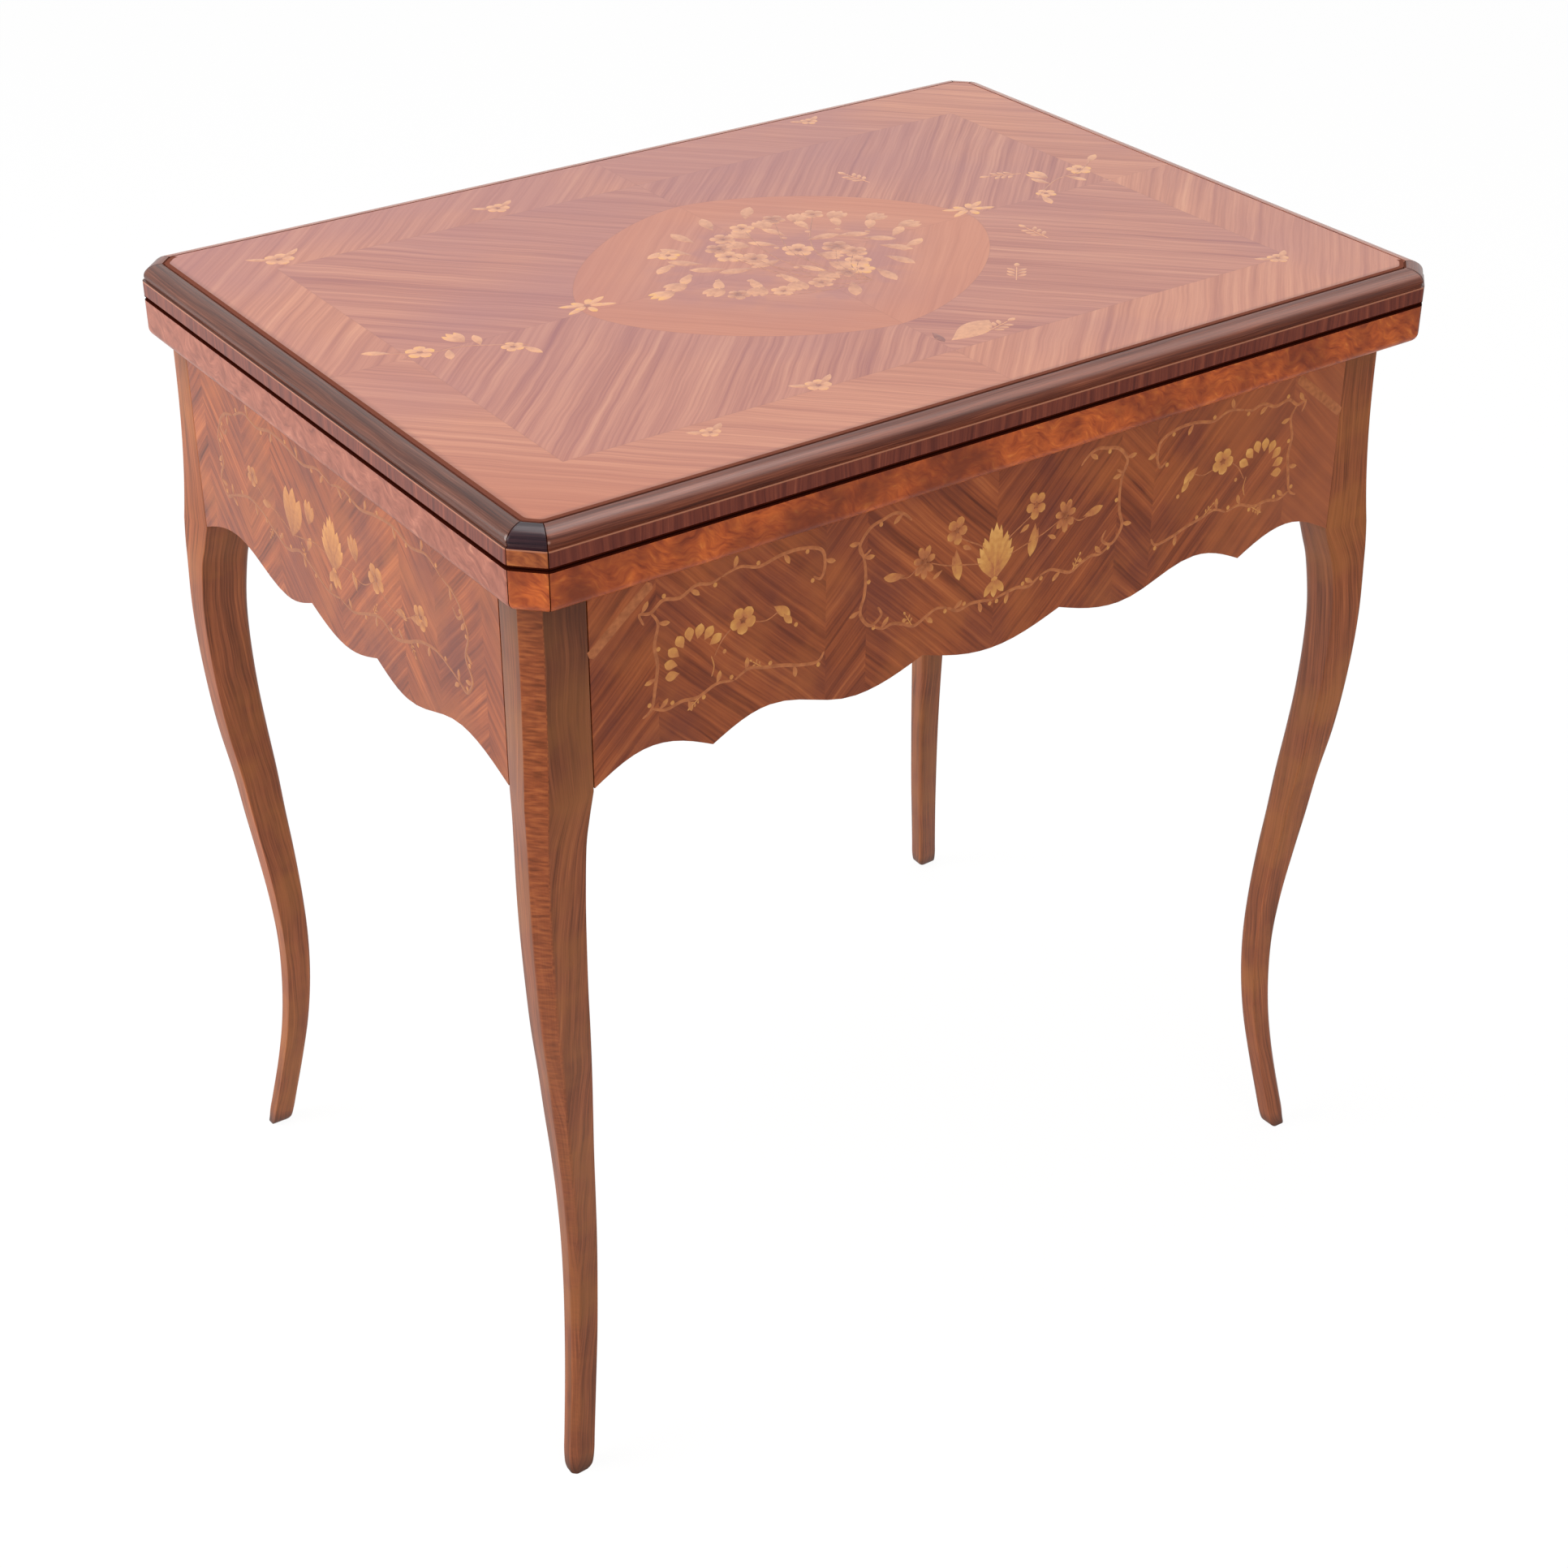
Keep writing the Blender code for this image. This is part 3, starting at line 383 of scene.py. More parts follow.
def leg_grid():
    """Heights and sections of a leg, as distances in from the frame's corner.

    Every section is the stile's five-cornered plan, scaled along and across the corner's diagonal
    and shifted out along it. The radii beside the aprons and inside shrink with the section.
    """
    shoulder = apron_low - SHOULDER_DROP
    down = np.arange(STILE_ROWS) / STILE_ROWS
    stile = np.column_stack([
        (frame_high + (shoulder - frame_high) * down) / shoulder,
        np.zeros(STILE_ROWS), np.ones(STILE_ROWS), np.ones(STILE_ROWS), down**SWELL_POWER,
    ])
    rows = np.vstack([stile, smooth_rows(LEG_LINE_SHARES, LEG_STEPS)])
    height = rows[:, 0] * shoulder
    plan = np.array([
        (LEG_CANT, 0, 1), (LEG_FRONT_WIDTH, 0, 0), (LEG_FRONT_WIDTH, LEG_SIDE_WIDTH, 0),
        (0, LEG_SIDE_WIDTH, 0), (0, LEG_CANT, 1),
    ])
    out, deep, wide, swell = (rows[:, column, None] for column in (1, 2, 3, 4))
    inward = (plan[:, 0] + plan[:, 1] - LEG_CANT) / math.sqrt(2) * deep + LEG_CANT / math.sqrt(2)
    inward = inward - out * LEG_SWEEP - plan[:, 2] * swell * LEG_SWELL
    across = (plan[:, 0] - plan[:, 1]) / math.sqrt(2) * wide
    corners = np.stack([inward + across, inward - across], axis=2) / math.sqrt(2)
    softened = np.clip((shoulder - height) / CANT_SOFTENING_DROP, 0, 1)[:, None]
    cant_radius = CANT_RADIUS_HIGH + (CANT_RADIUS_LOW - CANT_RADIUS_HIGH) * softened
    others = np.array([SIDE_RADIUS, INNER_RADIUS, SIDE_RADIUS]) * wide
    radii = np.concatenate([cant_radius, others, cant_radius], axis=1)
    return height, rounded_section(corners, radii, CORNER_STEPS)


# The wood of each piece is drawn in one way. A place on the surface is turned into three lengths:
# along the grain, across it, and a number for each sheet of veneer, so that no two sheets match.

STRAIGHT_SHARES = (40.0, 55.0, 30.0)  # how far each mark is drawn out along the grain, in its widths
LAYER_DETAILS = (3.0, 3.0, 2.0)
NOISE_MIDDLE = 0.5
NOISE_SWING = 4.0  # brings noise, about a quarter either way of its middle, to one either way
NOISE_RUN = (0.30, 0.70)  # noise seldom leaves this run, so it is spread over the tones from here
FLECK_RUN = (0.60, 0.74)  # the pores' noise at which a dark fleck begins and is full
FLECK_SHARE = 0.30
PORE_ROUGHENING = 0.06  # how far the roughness rises over the pores
HARD_SMOOTHING = 0.04  # and falls over the hard wood between them
GRAIN_STRENGTH = 0.2
GRAIN_DEPTH = 0.0001
POLISH_IOR = 1.5


def wood(
    name, lay, tones, stripe, streak, figure, drawn=STRAIGHT_SHARES, sway=0.6, wave=0.11,
    polish=0.30, tint=None,
):
    """A polished wood.

    lay(tree) gives the vector of those lengths in metres. Broad stripes (growth rings cut at a
    slant), fine streaks (vessels) and dark flecks are noise drawn out along the grain; figure is
    the share of the stripes in the tone. The grain sways by that many stripe widths over the
    wave's length. The height of the streaks, filled by polish, is a tenth of a millimetre.
    """
    material, tree = new_material(name)
    place = lay(tree)
    drift = add(tree, "TexNoise", {"Vector": place, "Scale": 1 / wave, "Detail": 2.0}).outputs["Fac"]
    bend = add(tree, "Math", {0: drift, 1: NOISE_MIDDLE}, operation="SUBTRACT").outputs[0]
    swing = NOISE_SWING * stripe * sway
    bend = add(tree, "Math", {0: bend, 1: swing}, operation="MULTIPLY").outputs[0]
    shift = add(tree, "CombineXYZ", {"Y": bend}).outputs[0]
    place = add(tree, "VectorMath", {0: place, 1: shift}, operation="ADD").outputs[0]
    layers = []
    for width, length_share, detail in zip((stripe, streak, streak / 3), drawn, LAYER_DETAILS):
        size = (1 / (width * length_share), 1 / width, 1.0)
        spread = add(tree, "VectorMath", {0: place, 1: size}, operation="MULTIPLY").outputs[0]
        layers.append(add(tree, "TexNoise", {
            "Vector": spread, "Scale": 1.0, "Detail": detail, "Roughness": 0.6,
        }).outputs["Fac"])
    broad, fine, pores = layers
    tone = add(tree, "Mix", {0: figure, 2: fine, 3: broad}, data_type="FLOAT").outputs[0]
    tone = add(tree, "MapRange", {
        "Value": tone, "From Min": NOISE_RUN[0], "From Max": NOISE_RUN[1],
    }).outputs[0]
    colour = add(tree, "ValToRGB", {"Fac": tone}, stops=tones).outputs["Color"]
    flecks = add(tree, "MapRange", {
        "Value": pores, "From Min": FLECK_RUN[0], "From Max": FLECK_RUN[1], "To Max": FLECK_SHARE,
    }).outputs[0]
    colour = add(tree, "Mix", {0: flecks, 6: colour, 7: linear(tones[0][1])}, data_type="RGBA").outputs[2]
    if tint:
        colour = tint(tree, colour)
    rough = add(tree, "MapRange", {
        "Value": fine, "To Min": polish + PORE_ROUGHENING, "To Max": polish - HARD_SMOOTHING,
    }).outputs[0]
    grain = add(tree, "Bump", {
        "Height": fine, "Strength": GRAIN_STRENGTH, "Distance": GRAIN_DEPTH,
    }).outputs[0]
    end_with(tree, add(tree, "BsdfPrincipled", {
        "Base Color": colour, "Roughness": rough, "Normal": grain, "IOR": POLISH_IOR,
    }).outputs[0])
    return material


def along_uv(tree):
    """Grain along V, the height of a leg, with U across it."""
    flat = add(tree, "SeparateXYZ", {0: add(tree, "UVMap", uv_map="grain").outputs[0]}).outputs
    return add(tree, "CombineXYZ", {"X": flat["Y"], "Y": flat["X"]}).outputs[0]


def patches(tree, colour, place, code, scale, detail, run, most, roughness=0.5):
    """Slow patches of another colour: noise that begins to show and is full at the run's ends."""
    noise = add(tree, "TexNoise", {
        "Vector": place, "Scale": scale, "Detail": detail, "Roughness": roughness,
    }).outputs["Fac"]
    share = add(tree, "MapRange", {
        "Value": noise, "From Min": run[0], "From Max": run[1], "To Max": most,
    }).outputs[0]
    return add(tree, "Mix", {0: share, 6: colour, 7: linear(code)}, data_type="RGBA").outputs[2]


LEG_TONES = ((0.0, "#542A14"), (0.35, "#7B4224"), (0.65, "#985431"), (1.0, "#B66C3F"))
CANT_TONES = ((0.0, "#6A3010"), (0.5, "#8C4520"), (1.0, "#A65B2C"))
# Patches where the polish is rubbed through to lighter wood.
LEG_GOLD = {"code": "#A4662E", "scale": 20.0, "detail": 3.0, "run": (0.45, 0.65), "most": 0.45}
LEG_WAX_AND_SHADE = "#33201A"  # colour of old wax, and of the painted shade under the overhang near the top
LEG_WAX_AND_SHADE_SHARE = 0.38
CURL_SIZE = (0.0022, 0.0120)  # of a ripple in curly wood, down and across
CURL_SHARE = 0.85
FOOT_DARK = "#2A1712"
FOOT_DARK_HEIGHT = 0.014
FOOT_DARK_SHARE = 0.75
# Heights over which painted shade, with old wax, darkens the legs towards the top.
WAX_AND_SHADE_HEIGHTS = (0.560, 0.690)
WAX_RUN = (0.50, 0.05)  # X less Y, either way: the near and far legs hold the most of it
OLD_WAX_SHARE = 0.20
SHADE_HEIGHTS = (0.670, 0.705)  # painted shade under the overhang of the top
SHADE_SHARE = 0.35


def leg_tint(tree, colour):
    """Redder, rippled wood where the tone says cant; painted shade and wax near the top; a foot dark from the
    floor.
    """
    cant = add(tree, "Attribute", attribute_name="tone").outputs["Fac"]
    place = add(tree, "TexCoord").outputs["Object"]
    spot = add(tree, "SeparateXYZ", {0: place}).outputs
    spread = (1 / CURL_SIZE[1], 1 / CURL_SIZE[0], 1.0)
    curl = add(tree, "UVMap", uv_map="grain").outputs[0]
    curl = add(tree, "VectorMath", {0: curl, 1: spread}, operation="MULTIPLY").outputs[0]
    curl = add(tree, "TexNoise", {"Vector": curl, "Scale": 1.0, "Detail": 2.0}).outputs["Fac"]
    curl = add(tree, "MapRange", {
        "Value": curl, "From Min": NOISE_RUN[0], "From Max": NOISE_RUN[1],
    }).outputs[0]
    curly = add(tree, "ValToRGB", {"Fac": curl}, stops=CANT_TONES).outputs["Color"]
    colour = patches(tree, colour, place, **LEG_GOLD)
    # Painted shade with old wax: darker towards the top, under the overhang, most on the near and far legs.
    wax_and_shade = add(tree, "MapRange", {
        "Value": spot["Z"], "From Min": WAX_AND_SHADE_HEIGHTS[0], "From Max": WAX_AND_SHADE_HEIGHTS[1],
        "To Max": LEG_WAX_AND_SHADE_SHARE,
    }).outputs[0]
    side = add(tree, "Math", {0: spot["X"], 1: spot["Y"]}, operation="SUBTRACT").outputs[0]
    side = add(tree, "Math", {0: side}, operation="ABSOLUTE").outputs[0]
    side = add(tree, "MapRange", {"Value": side, "From Min": WAX_RUN[0], "From Max": WAX_RUN[1]}).outputs[0]
    wax_and_shade = add(tree, "Math", {0: wax_and_shade, 1: OLD_WAX_SHARE}, operation="ADD").outputs[0]
    wax_and_shade = add(tree, "Math", {0: wax_and_shade, 1: side}, operation="MULTIPLY").outputs[0]
    colour = add(tree, "Mix", {0: wax_and_shade, 6: colour, 7: linear(LEG_WAX_AND_SHADE)}, data_type="RGBA").outputs[2]
    share = add(tree, "Math", {0: cant, 1: CURL_SHARE}, operation="MULTIPLY").outputs[0]
    colour = add(tree, "Mix", {0: share, 6: colour, 7: curly}, data_type="RGBA").outputs[2]
    shade = add(tree, "MapRange", {
        "Value": spot["Z"], "From Min": SHADE_HEIGHTS[0], "From Max": SHADE_HEIGHTS[1],
        "To Max": SHADE_SHARE,
    }).outputs[0]
    colour = add(tree, "Mix", {0: shade, 6: colour, 7: linear(LEG_WAX_AND_SHADE)}, data_type="RGBA").outputs[2]
    foot = add(tree, "MapRange", {
        "Value": spot["Z"], "From Max": FOOT_DARK_HEIGHT, "To Min": FOOT_DARK_SHARE, "To Max": 0.0,
    }).outputs[0]
    return add(tree, "Mix", {0: foot, 6: colour, 7: linear(FOOT_DARK)}, data_type="RGBA").outputs[2]


# Walnut under shellac: brown with dark vessels, and glossy where the pores are full.
leg_walnut = wood(
    "french_polished_walnut", along_uv, LEG_TONES,
    stripe=0.0062, streak=0.0014, figure=0.45, tint=leg_tint,
)

dark_joint_and_gap_shade, tree = new_material("dark_joint_and_painted_gap_shade")
# Glue, wax and dust in a joint: near black, and matt beside the polish. The same black is laid beside the
# parting line between the leaves as painted shade in the gap.
end_with(tree, add(tree, "BsdfDiffuse", {"Color": linear("#351109"), "Roughness": 0.4}).outputs[0])

CANT_FADE_HEIGHTS = (0.18, 0.52)  # the cant's own colour begins to show, and is full
CANT_FADE_SHARES = (0.15, 1.0)
LEG_SEED = 0.37  # metres from one leg's place in the grain to the next, so that no two match


def make_leg(name, side_x, side_y):
    """One leg: the sections set out from its corner of the frame, with grain lengths as its map."""
    height, section = leg_grid()
    x = frame_middle[0] + side_x * (half_frame[0] - section[:, :, 0])
    y = frame_middle[1] + side_y * (half_frame[1] - section[:, :, 1])
    grid = np.stack([x, y, np.broadcast_to(height[:, None], x.shape)], axis=2)
    ring = np.concatenate([section, section[:, :1]], axis=1)
    around = np.cumsum(np.linalg.norm(np.diff(ring, axis=1), axis=2), axis=1)
    around = np.concatenate([np.zeros((len(height), 1)), around], axis=1)
    around = around - around[:, [3 * CORNER_STEPS]]
    seed = LEG_SEED * (2 * side_x + side_y)
    uv = np.stack([around + seed, np.broadcast_to(height[:, None], around.shape) + seed], axis=2)
    fade = np.linspace(1, 0, CORNER_STEPS)
    over = np.zeros(section.shape[1])
    over[:CORNER_STEPS] = fade
    over[-CORNER_STEPS:] = fade[::-1]
    rise = np.interp(height, CANT_FADE_HEIGHTS, CANT_FADE_SHARES)
    leg = skin(f"polished_{name}", grid, [leg_walnut], uv, tones=rise[:, None] * over)
    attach(leg, "base")
    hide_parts(name)


for leg_name, leg_x, leg_y in (
    ("leg_front_left", -1, -1), ("leg_front_right", 1, -1),
    ("leg_back_right", 1, 1), ("leg_back_left", -1, 1),
):
    make_leg(leg_name, leg_x, leg_y)


# Aprons
# Pine boards, scalloped below, tenoned into the stiles and faced with rosewood-like veneer. It is
# laid in slanting quarters, mirrored about the middle, and turned over inside each cartouche.

APRON_TONES = ((0.0, "#5A2611"), (0.35, "#803E1F"), (0.65, "#9A4F28"), (1.0, "#B86A38"))
APRON_GOLD = {"code": "#A85E2C", "scale": 22.0, "detail": 4.0, "run": (0.48, 0.66), "most": 0.40}
# Heartwood zones under the polish, and towards the right a painted sheen that pales the wood.
APRON_PURPLE = {
    "code": "#5E2C2A", "scale": 16.0, "detail": 3.0, "run": (0.42, 0.68), "most": 0.50, "roughness": 0.6,
}
# Painted sheen: a paler colour, and how much of it is mixed in towards +X.
APRON_SHEEN = "#A8603C"
APRON_SHEEN_SHARE = 0.52
CLOUD_SHIFT = (3.0, 7.0, 5.0)  # takes the golden clouds away from the purple ones
SHEEN_RUN = (0.17, 0.30)
LONG_ZONES = (0.105, 0.200, 0.063)  # half of the middle one, then the side ones' place and half
SHORT_ZONES = (0.090, 0.165, 0.030)
# Steps in a sheet's number, from side to side and into the middle zone: no two sheets match.
SIDE_SHEET_STEP = 3.7
MIDDLE_SHEET_STEP = 5.3


def apron_tint(tree, colour):
    """Slow changes towards purple heartwood, some centimetres across, and a painted sheen that pales the
    right end.
    """
    spot = add(tree, "TexCoord").outputs["Object"]
    colour = patches(tree, colour, spot, **APRON_PURPLE)
    shifted = add(tree, "VectorMath", {0: spot, 1: CLOUD_SHIFT}, operation="ADD").outputs[0]
    colour = patches(tree, colour, shifted, **APRON_GOLD)
    # Painted sheen: paler towards +X.
    painted_sheen = add(tree, "SeparateXYZ", {0: spot}).outputs["X"]
    painted_sheen = add(tree, "MapRange", {
        "Value": painted_sheen, "From Min": SHEEN_RUN[0], "From Max": SHEEN_RUN[1], "To Max": APRON_SHEEN_SHARE,
    }).outputs[0]
    return add(tree, "Mix", {0: painted_sheen, 6: colour, 7: linear(APRON_SHEEN)}, data_type="RGBA").outputs[2]


def folded_grain(middle_u, axis, zones):
    """Slanting quarters on an upright face: grain runs at 45 degrees, mirrored about the middle.

    The slant turns over inside the middle zone and inside the two side ones.
    """
    middle_half, side_place, side_half = zones

    def lay(tree):
        place = add(tree, "SeparateXYZ", {0: add(tree, "TexCoord").outputs["Object"]}).outputs
        u = add(tree, "Math", {0: place[axis], 1: middle_u}, operation="SUBTRACT").outputs[0]
        far = add(tree, "Math", {0: u}, operation="ABSOLUTE").outputs[0]
        off = add(tree, "Math", {0: far, 1: side_place}, operation="SUBTRACT").outputs[0]
        off = add(tree, "Math", {0: off}, operation="ABSOLUTE").outputs[0]
        aside = add(tree, "Math", {0: off, 1: side_half}, operation="LESS_THAN").outputs[0]
        middle = add(tree, "Math", {0: far, 1: middle_half}, operation="LESS_THAN").outputs[0]
        inside = add(tree, "Math", {0: aside, 1: middle}, operation="MAXIMUM").outputs[0]
        way = add(tree, "Math", {0: inside, 1: 2.0, 2: -1.0}, operation="MULTIPLY_ADD").outputs[0]
        slant = add(tree, "Math", {0: place["Z"], 1: way}, operation="MULTIPLY").outputs[0]
        along = add(tree, "Math", {0: far, 1: slant}, operation="ADD").outputs[0]
        across = add(tree, "Math", {0: far, 1: slant}, operation="SUBTRACT").outputs[0]
        side = add(tree, "Math", {0: u}, operation="SIGN").outputs[0]
        sheet = inside
        for zone, step in ((side, SIDE_SHEET_STEP), (middle, MIDDLE_SHEET_STEP)):
            sheet = add(tree, "Math", {0: zone, 1: step, 2: sheet}, operation="MULTIPLY_ADD").outputs[0]
        return add(tree, "CombineXYZ", {"X": along, "Y": across, "Z": sheet}).outputs[0]

    return lay


def dress(material, *names):
    """Give CAD nodes a new finish."""
    for name in names:
        mesh = frame["nodes"][name].data
        mesh.materials.clear()
        mesh.materials.append(material)


for size, middle_u, axis, zones, apron_names in (
    ("long", frame_middle[0], "X", LONG_ZONES, ("apron_front", "apron_back")),
    ("short", frame_middle[1], "Y", SHORT_ZONES, ("apron_left", "apron_right")),
):
    veneer = wood(
        f"quartered_rosewood_veneer_{size}", folded_grain(middle_u, axis, zones), APRON_TONES,
        stripe=0.0080, streak=0.0022, figure=0.6, sway=0.3, tint=apron_tint,
    )
    dress(veneer, *apron_names)


# Marquetry
# Flowers, leaves, a vase of acanthus and scrolling stems of boxwood and sycamore, sawn out and let
# into the veneer, each piece scorched at its root in hot sand. Polish and wear have softened them.

INLAY_LIFT = 0.00012  # how far a piece stands over the veneer at its middle
INLAY_LIFT_SLOPE = 2.5  # of that lift, for each millimetre of half width, until it is full
INLAY_SIDES = 8
INLAY_WELD_DISTANCE = 1e-7
MOTTLE = 0.12  # of the tones, either way
STEM_WIDTH = 2.5  # in millimetres, as all of a design is
STEM_TONE = 0.32
LEAF_POINTS = 9  # along its length, and so for a petal and a disc
PETAL_POINTS = 8
DISC_POINTS = 7
STEM_STEPS = 6
STEM_TIP = 0.25  # of the width, just before each end
STEM_TAPER_POWER = 0.35
NODE_SPACING = 19.0  # between the small leaves and berries on a scroll
BERRY_OFFSET = 2.5
BERRY_RADIUS = 1.6
SCROLL_LEAF = (9.0, 3.6)  # length and width
SCROLL_LEAF_LEAN = 50  # degrees from the stem
ACANTHUS_TONE = 0.95
MIRROR_SHADE = 0.94  # of the tones, on the side that is drawn again
DULL_INLAY = ((0.0, "#7E4832"), (0.35, "#965B36"), (0.7, "#B07440"), (1.0, "#C48A4C"))
BRIGHT_INLAY = ((0.0, "#7A4022"), (0.35, "#B06A3E"), (0.7, "#C88C48"), (1.0, "#DCA75E"))
FADED_INLAY = ((0.0, "#8A544E"), (0.35, "#BE8268"), (0.7, "#DDA27C"), (1.0, "#E6AC60"))


def inlay(name, tones):
    """Boxwood, shaded by the tone from each piece's root, with a fine mottled grain of its own."""
    material, tree = new_material(name)
    root = add(tree, "Attribute", attribute_name="tone").outputs["Fac"]
    spot = add(tree, "TexCoord").outputs["Object"]
    mottle = add(tree, "TexNoise", {"Vector": spot, "Scale": 260.0, "Detail": 3.0}).outputs["Fac"]
    mottle = add(tree, "MapRange", {
        "Value": mottle, "From Min": NOISE_RUN[0], "From Max": NOISE_RUN[1],
        "To Min": -MOTTLE, "To Max": MOTTLE,
    }).outputs[0]
    tone = add(tree, "Math", {0: root, 1: mottle}, operation="ADD", use_clamp=True).outputs[0]
    colour = add(tree, "ValToRGB", {"Fac": tone}, stops=tones).outputs["Color"]
    end_with(tree, add(tree, "BsdfPrincipled", {
        "Base Color": colour, "Roughness": 0.32, "IOR": POLISH_IOR,
    }).outputs[0])
    return material


bright_inlay = inlay("sand_shaded_boxwood_inlay", BRIGHT_INLAY)
dull_inlay = inlay("darkened_boxwood_inlay", DULL_INLAY)
faded_inlay = inlay("sun_faded_boxwood_inlay", FADED_INLAY)


class Marquetry:
    """Pieces of inlay gathered on one flat face, drawn in millimetres, right and down from its top middle."""

    def __init__(self):
        self.grids = []
        self.tones = []

    def strip(self, path, half_width, tip_tone, root_tone):
        """A flattened tube along a path: half widths in millimetres, tones from its root to its tip.

        Across the path each ring is an ellipse: the half width times the cosine of the turn, and
        the lift times its sine.
        """
        path = np.asarray(path, float)
        run = np.gradient(path, axis=0)
        run /= np.linalg.norm(run, axis=1, keepdims=True) + 1e-9
        side = np.column_stack([-run[:, 1], run[:, 0]])
        turn = 2 * np.pi * np.arange(INLAY_SIDES) / INLAY_SIDES
        half_width = np.broadcast_to(np.asarray(half_width, float), len(path))
        spread = half_width[:, None] * np.cos(turn)
        flat = path[:, None] + side[:, None] * spread[:, :, None]
        lift = np.sin(turn) * np.minimum(1, half_width * INLAY_LIFT_SLOPE)[:, None] * INLAY_LIFT
        self.grids.append(np.concatenate([flat / 1000, lift[:, :, None]], axis=2))
        self.tones.append(np.linspace(root_tone, tip_tone, len(path))[:, None] * np.ones(INLAY_SIDES))

    def stem(self, marks, width, tone=STEM_TONE):
        """A stem through a few points, thinner at its ends."""
        path = smooth_rows(marks, STEM_STEPS)
        share = np.linspace(0, 1, len(path))
        taper = STEM_TIP + (1 - STEM_TIP) * np.sin(np.pi * share) ** STEM_TAPER_POWER
        taper[[0, -1]] = 0
        self.strip(path, width / 2 * taper, tone, tone)
        return path

    def scroll(self, marks, spacing=NODE_SPACING):
        """A stem that carries a small leaf or a berry by turns, two on each side before the next."""
        path = self.stem(marks, STEM_WIDTH)
        run = np.concatenate([[0], np.cumsum(np.linalg.norm(np.diff(path, axis=0), axis=1))])
        for number, distance in enumerate(np.arange(spacing / 2, run[-1], spacing)):
            x, y = (np.interp(distance, run, path[:, axis]) for axis in (0, 1))
            on_x, on_y = (np.interp(distance + 1, run, path[:, axis]) for axis in (0, 1))
            turn = math.degrees(math.atan2(on_y - y, on_x - x))
            side = 1 if number % 4 < 2 else -1
            if number % 2:
                aside = BERRY_OFFSET * side
                self.disc(x + aside * (y - on_y), y + aside * (on_x - x), BERRY_RADIUS, STEM_TONE + 0.3)
            else:
                lean = turn + SCROLL_LEAF_LEAN * side
                self.leaf(x, y, lean, *SCROLL_LEAF, STEM_TONE + 0.25, STEM_TONE, curve=0.25 * side)

    def leaf(self, x, y, turn, length, width, tone, root_tone=0.35, curve=0.0):
        """A pointed leaf or petal from its root, widest past its middle; curve bends it sideways.

        Its half width is a sine of the share of its length, raised to a power that moves the
        widest place outwards, and it leaves its straight line with the square of that share.
        """
        s = np.linspace(0, 1, LEAF_POINTS)
        angle = math.radians(turn)
        along = np.array([math.cos(angle), math.sin(angle)])
        aside = np.array([-along[1], along[0]])
        path = np.array([x, y]) + length * s[:, None] * along + curve * length * (s**2)[:, None] * aside
        half = width / 2 * np.sin(np.pi * s**1.35) ** 0.8
        half[[0, -1]] = 0
        self.strip(path, half, tone, root_tone)

    def flower(self, x, y, radius, petals, turn, tone, fat=0.95, long=1.0):
        """Rounded petals round a darker eye; long stretches the flower upwards into an oval.

        A petal starts beside the eye. Its half width is the root of a sine that grows towards the
        tip, and fat is that width as a share of what lets neighbouring petals touch.
        """
        s = np.linspace(0, 1, PETAL_POINTS)
        widest = fat * radius * math.sin(math.pi / petals)
        half = widest * np.sqrt(np.clip(np.sin(np.pi * s**0.72), 0, 1)) * (0.45 + 0.55 * s)
        half[[0, -1]] = 0
        for number in range(petals):
            angle = math.radians(turn + 360 * number / petals)
            reach = radius * np.array([math.cos(angle), long * math.sin(angle)])
            self.strip(np.array([x, y]) + (0.16 + 0.84 * s)[:, None] * reach, half, tone, tone - 0.45)
        self.disc(x, y, 0.22 * radius, 0.15)

    def disc(self, x, y, radius, tone):
        """A round berry or a flower's eye."""
        s = np.linspace(-1, 1, DISC_POINTS)
        path = np.array([x, y]) + radius * s[:, None] * np.array([1.0, 0.0])
        self.strip(path, radius * np.sqrt(1 - s**2), tone, tone)

    def tulip(self, x, y, turn, length, width, tone):
        """Three petals that open from one cup."""
        for lean, size in ((-24, 0.92), (24, 0.92), (0, 1.0)):
            self.leaf(x, y, turn + lean, length * size, width * 0.5, tone, 0.3, curve=-0.006 * lean)

    def sprig(self, x, y, turn, length, leaves, tone=0.7):
        """A short stem with paired leaves and a bud."""
        angle = math.radians(turn)
        along = np.array([math.cos(angle), math.sin(angle)])
        foot = np.array([x, y])
        self.strip(foot + length * np.linspace(0, 1, 6)[:, None] * along, 0.35, tone, tone)
        for number in range(leaves):
            for way in (-1, 1):
                node = foot + along * length * (0.25 + 0.65 * number / leaves)
                self.leaf(*node, turn + 48 * way, length * 0.38, length * 0.14, tone, 0.3)
        self.leaf(*(foot + along * length), turn, length * 0.36, length * 0.17, tone + 0.1, 0.35)

    def acanthus(self, x, y, height, width):
        """A vase of acanthus: pairs of leaves fan upwards and outwards from a foot, over each other."""
        for share in (1.0, 0.72, 0.44, 0.16):
            for way in (-1, 1):
                lean = way * 27 * share
                length = height * (1 - 0.40 * share)
                self.leaf(x, y, -90 + lean, length, width * 0.25, ACANTHUS_TONE, 0.25, curve=0.006 * lean)
        duller = ACANTHUS_TONE - 0.1
        for way in (-1, 1):
            self.leaf(x, y - 0.16 * height, -90 + 24 * way, height * 0.62, width * 0.24, duller, 0.2)
        self.leaf(x, y, -90, height, width * 0.26, ACANTHUS_TONE, 0.45)
        for lean in (-34, 0, 34):
            self.leaf(x, y - 0.05 * height, 90 + lean, 0.34 * height, width * 0.2, duller, 0.3)
        self.disc(x, y - 0.03 * height, width * 0.1, ACANTHUS_TONE - 0.2)

    def mirrored(self, draw):
        """Draw the same motifs again on the other side of the middle, a little darker."""
        first = len(self.grids)
        draw()
        for index in range(first, len(self.grids)):
            self.grids.append(self.grids[index] * np.array([-1, 1, 1]))
            self.tones.append(self.tones[index] * MIRROR_SHADE)

